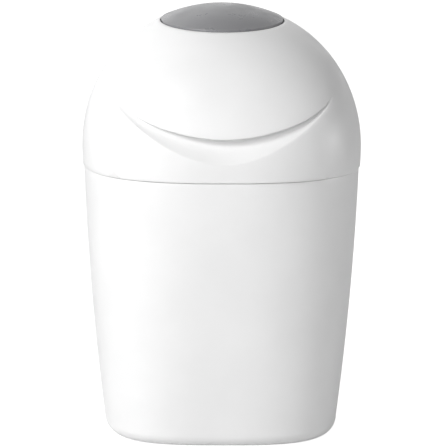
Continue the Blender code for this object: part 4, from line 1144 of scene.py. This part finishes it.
# Plunger well: the tube under the button, with the bush that the stem slides in and four lugs.
# The same matt white as the liner, screwed up to bosses in the dome.

well_radius, well_outer, well_top = 0.0605, 0.0627, 0.39827
well_floor_low, well_floor_top = 0.3288, 0.3318
well_lug_low = well_lug_top - 0.003


def upright(side=0.0):
    """Stands a flat outline up in the plane of the bin's front and back, at a distance to a side."""
    return Matrix(((0, 0, 1, side), (-1, 0, 0, 0), (0, 1, 0, 0), (0, 0, 0, 1)))


def make_plunger_well():
    bush_inner, bush_outer, bush_low, bush_high = 0.0126, 0.016, 0.3228, 0.3488
    section = [
        (well_radius, well_top), (well_outer, well_top), (well_outer, well_floor_low + 0.002),
        (well_outer - 0.002, well_floor_low), (bush_outer + 0.0012, well_floor_low),
        (bush_outer, well_floor_low - 0.0012), (bush_outer, bush_low),
        (bush_inner + 0.0006, bush_low), (bush_inner, bush_low + 0.0006),
        (bush_inner, bush_high - 0.0006), (bush_inner + 0.0006, bush_high),
        (bush_outer - 0.0003, bush_high), (bush_outer, well_floor_top + 0.0002),
        (well_radius - 0.0015, well_floor_top), (well_radius, well_floor_top + 0.0015),
    ]
    parts = []
    rib_root, rib_crest = well_outer - 0.0008, well_lug_low + 0.0004
    rib = [(rib_root, well_lug_low - 0.009), (rib_root, rib_crest), (0.0755, rib_crest)]
    for i in range(4):
        angle = pi / 4 + pi / 2 * i
        reach = well_radius + 0.0011, 0.0782
        lug = radial_block(f"well_lug_{i}", angle, *reach, 0.013, well_lug_low, well_lug_top, 0)
        hole = rod(f"lug_hole_{i}", screw_bore, well_lug_low - 0.004, well_lug_top + 0.004, 24)
        parts.append(ease_edges(cut_away(lug, at_corner(hole, i, well_screw_circle)), 0.0005))
        for side in (-0.0055, 0.0055):
            parts.append(turned_round(plate(f"lug_rib_{i}", rib, 0.0014, upright(side), 0.0002), angle))
    return leant(joined(section_spun("well_moulding", section, 128), *parts))


fit(make_plunger_well(), inner_moulding, "lid", "inner_plastic", "plunger_well")


# Screws: nine pan-head screws of zinc-plated steel with cross recesses, driven upwards into the
# lid's bosses and the stem's foot. One is modelled, and the others are copies of it.

screw_head, screw_head_height, screw_length = 0.004, 0.0024, 0.012
presser_screw_seat = 0.3054


def make_screw():
    """A screw whose head's flat side lies at height zero, with its thread above."""
    section = [(0, screw_length), (0.0006, screw_length - 0.0004)]
    threads, pan_edge = 13, 0.35
    for i in range(threads):
        height = screw_length - 0.0012 - (screw_length - 0.0022) * i / threads
        wide = min(1, 0.5 + i / 5)
        section += [(0.0013 * wide, height), (0.0017 * wide, height - 0.00035)]
    section += [(0.0013, 0.0005), (0.0015, 0), (screw_head, 0), (screw_head, -screw_head_height * pan_edge)]
    for turn in quarter(1, 7)[:-1]:
        drop = pan_edge + (1 - pan_edge) * sin(turn)
        section.append((screw_head * cos(turn) ** 0.6, -screw_head_height * drop))
    section.append((0, -screw_head_height))
    recess = (-0.0021, -0.00045, -0.004), (0.0021, 0.00045, -0.0011)
    bars = [turned_round(block("recess", *recess, 0), turn) for turn in (pi / 4, -pi / 4)]
    return cut_away(section_spun("screw", section, 32, 0), *bars)


def drive_screw(node, body, turned, placement):
    """A copy of the screw, turned and put in its place."""
    copy = screw.copy()
    copy.data = screw.data.copy()
    copy.name = f"{node}_zinc"
    copy.data.transform(placement @ Matrix.Rotation(turned, 4, "Z"))
    bpy.context.scene.collection.objects.link(copy)
    fit(copy, steel, body, "steel", node)


screw = make_screw()
for i in range(4):
    angle = pi / 4 + pi / 2 * i
    spot = at_angle(angle, liner_screw_circle, liner_flange_low - seat_gap)
    drive_screw(f"liner_screw_{i + 1}", "lid", 0.7 * i, Matrix.Translation(spot))
    spot = at_angle(angle, well_screw_circle, well_lug_low - seat_gap)
    drive_screw(f"well_screw_{i + 1}", "lid", 0.4 + 0.9 * i, lean @ Matrix.Translation(spot))
drive_screw("presser_screw", "plunger", 0, lean @ Matrix.Translation((0, 0, presser_screw_seat - seat_gap)))
bpy.data.objects.remove(screw)


# Plunger spring: five turns of steel wire, wound with closed ends, that lift the button again. It
# stands loose between the well's floor and the rib under the button.

spring_foot, spring_head = 0.3321, 0.41254
plunger_coil = coil("plunger_coil", 0.0182, 0.0009, 5, spring_foot, spring_head)
fit(leant(plunger_coil), steel, "lid", "steel", "plunger_spring")
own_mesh(plunger_coil)


# Top button: the grey disc that is pressed to push a nappy down. One satin moulding, domed on
# top, with a skirt that slides in the lid's well, a rib for the spring and a socket for the stem.

button_radius = 0.0594
button_rim_height = 0.40365
button_dome = 0.01307
button_sphere = 0.14164
button_wall = 0.0024
button_skirt = 0.017
button_round = 0.0012


def cap_height(radius, inset=0.0):
    """The height of the button's domed top at a radius, or of its underside."""
    centre = button_rim_height + button_dome - button_sphere
    return centre + sqrt((button_sphere - inset) ** 2 - radius**2)


def make_top_button():
    flat = button_radius - button_round
    rib_outer, rib_inner, boss = 0.0221, 0.0203, 0.0115
    rib_top = cap_height(rib_outer, button_wall)
    bottom = 0.39665
    skirt_bottom = button_rim_height - button_skirt
    inner = button_radius - button_wall
    section = [(flat * i / 24, cap_height(flat * i / 24)) for i in range(25)]
    for turn in quarter(1, 5):
        drop = button_round * (1 - cos(turn))
        section.append((flat + button_round * sin(turn), cap_height(flat) - drop))
    section += [(button_radius, skirt_bottom), (inner, skirt_bottom)]
    for i in range(7):
        radius = inner + (rib_outer - inner) * i / 6
        section.append((radius, cap_height(radius, button_wall)))
    section += [(rib_outer, rib_top - 0.004), (rib_inner, rib_top - 0.004), (rib_inner, rib_top)]
    section += [(boss, rib_top), (boss, bottom), (0.0083, bottom)]
    section += [(0.0083, bottom + 0.012), (0, bottom + 0.012)]
    return leant(section_spun("button_moulding", section, 128))


fit(make_top_button(), grey_satin, "plunger", "grey_plastic", "top_button")


# Stem: the rod that joins the button to the presser plate. A matt white moulding with a spigot at
# each end, the lower one bored for a screw.


def make_stem():
    shank, spigot, eased = 0.012, 0.008, 0.0006
    top, shoulder, foot, end, bore_top = 0.40835, 0.39635, 0.3228, 0.3083, 0.3203
    section = [
        (0, top), (spigot - eased, top), (spigot, top - eased), (spigot, shoulder),
        (shank - eased, shoulder), (shank, shoulder - eased), (shank, foot + eased),
        (shank - eased, foot), (spigot, foot), (spigot, end), (screw_bore, end),
        (screw_bore, bore_top), (0, bore_top),
    ]
    return leant(section_spun("stem_moulding", section, 64))


fit(make_stem(), inner_moulding, "plunger", "inner_plastic", "plunger_stem")


# Presser plate: the dished disc that pushes a nappy down through the cassette. Moulded in soft
# grey with six ribs, and screwed to the stem's foot.


def make_presser():
    low, hub_floor, hub_top = 0.303, 0.308, 0.3225
    skin, edge, head_room = 0.0026, 0.048, 0.0046
    section = [
        (0.0083, hub_top), (0.0142, hub_top), (0.0148, hub_top - 0.0006),
        (0.0148, hub_floor + 0.001), (0.018, low + skin), (edge - skin, hub_floor + skin),
        (edge - 0.0008, hub_floor + skin), (edge, hub_floor + skin - 0.0008),
        (edge, hub_floor + 0.0008), (edge - 0.001, hub_floor), (0.018, low), (head_room, low),
        (head_room, presser_screw_seat), (screw_bore, presser_screw_seat), (screw_bore, hub_floor),
        (0.0083, hub_floor),
    ]
    root = hub_floor + 0.0013
    rib = [(0.0114, root), (0.0114, 0.315), (0.02, 0.315)]
    rib += [(0.0418, 0.3115), (0.0428, 0.3105), (0.0428, root)]
    ribs = [plate(f"presser_rib_{i}", rib, 0.002, upright(), 0.0004) for i in range(6)]
    ribs = [turned_round(rib, pi / 3 * i) for i, rib in enumerate(ribs)]
    return leant(joined(section_spun("presser_moulding", section, 96), *ribs))


fit(make_presser(), soft_grey, "plunger", "soft_plastic", "presser_plate")
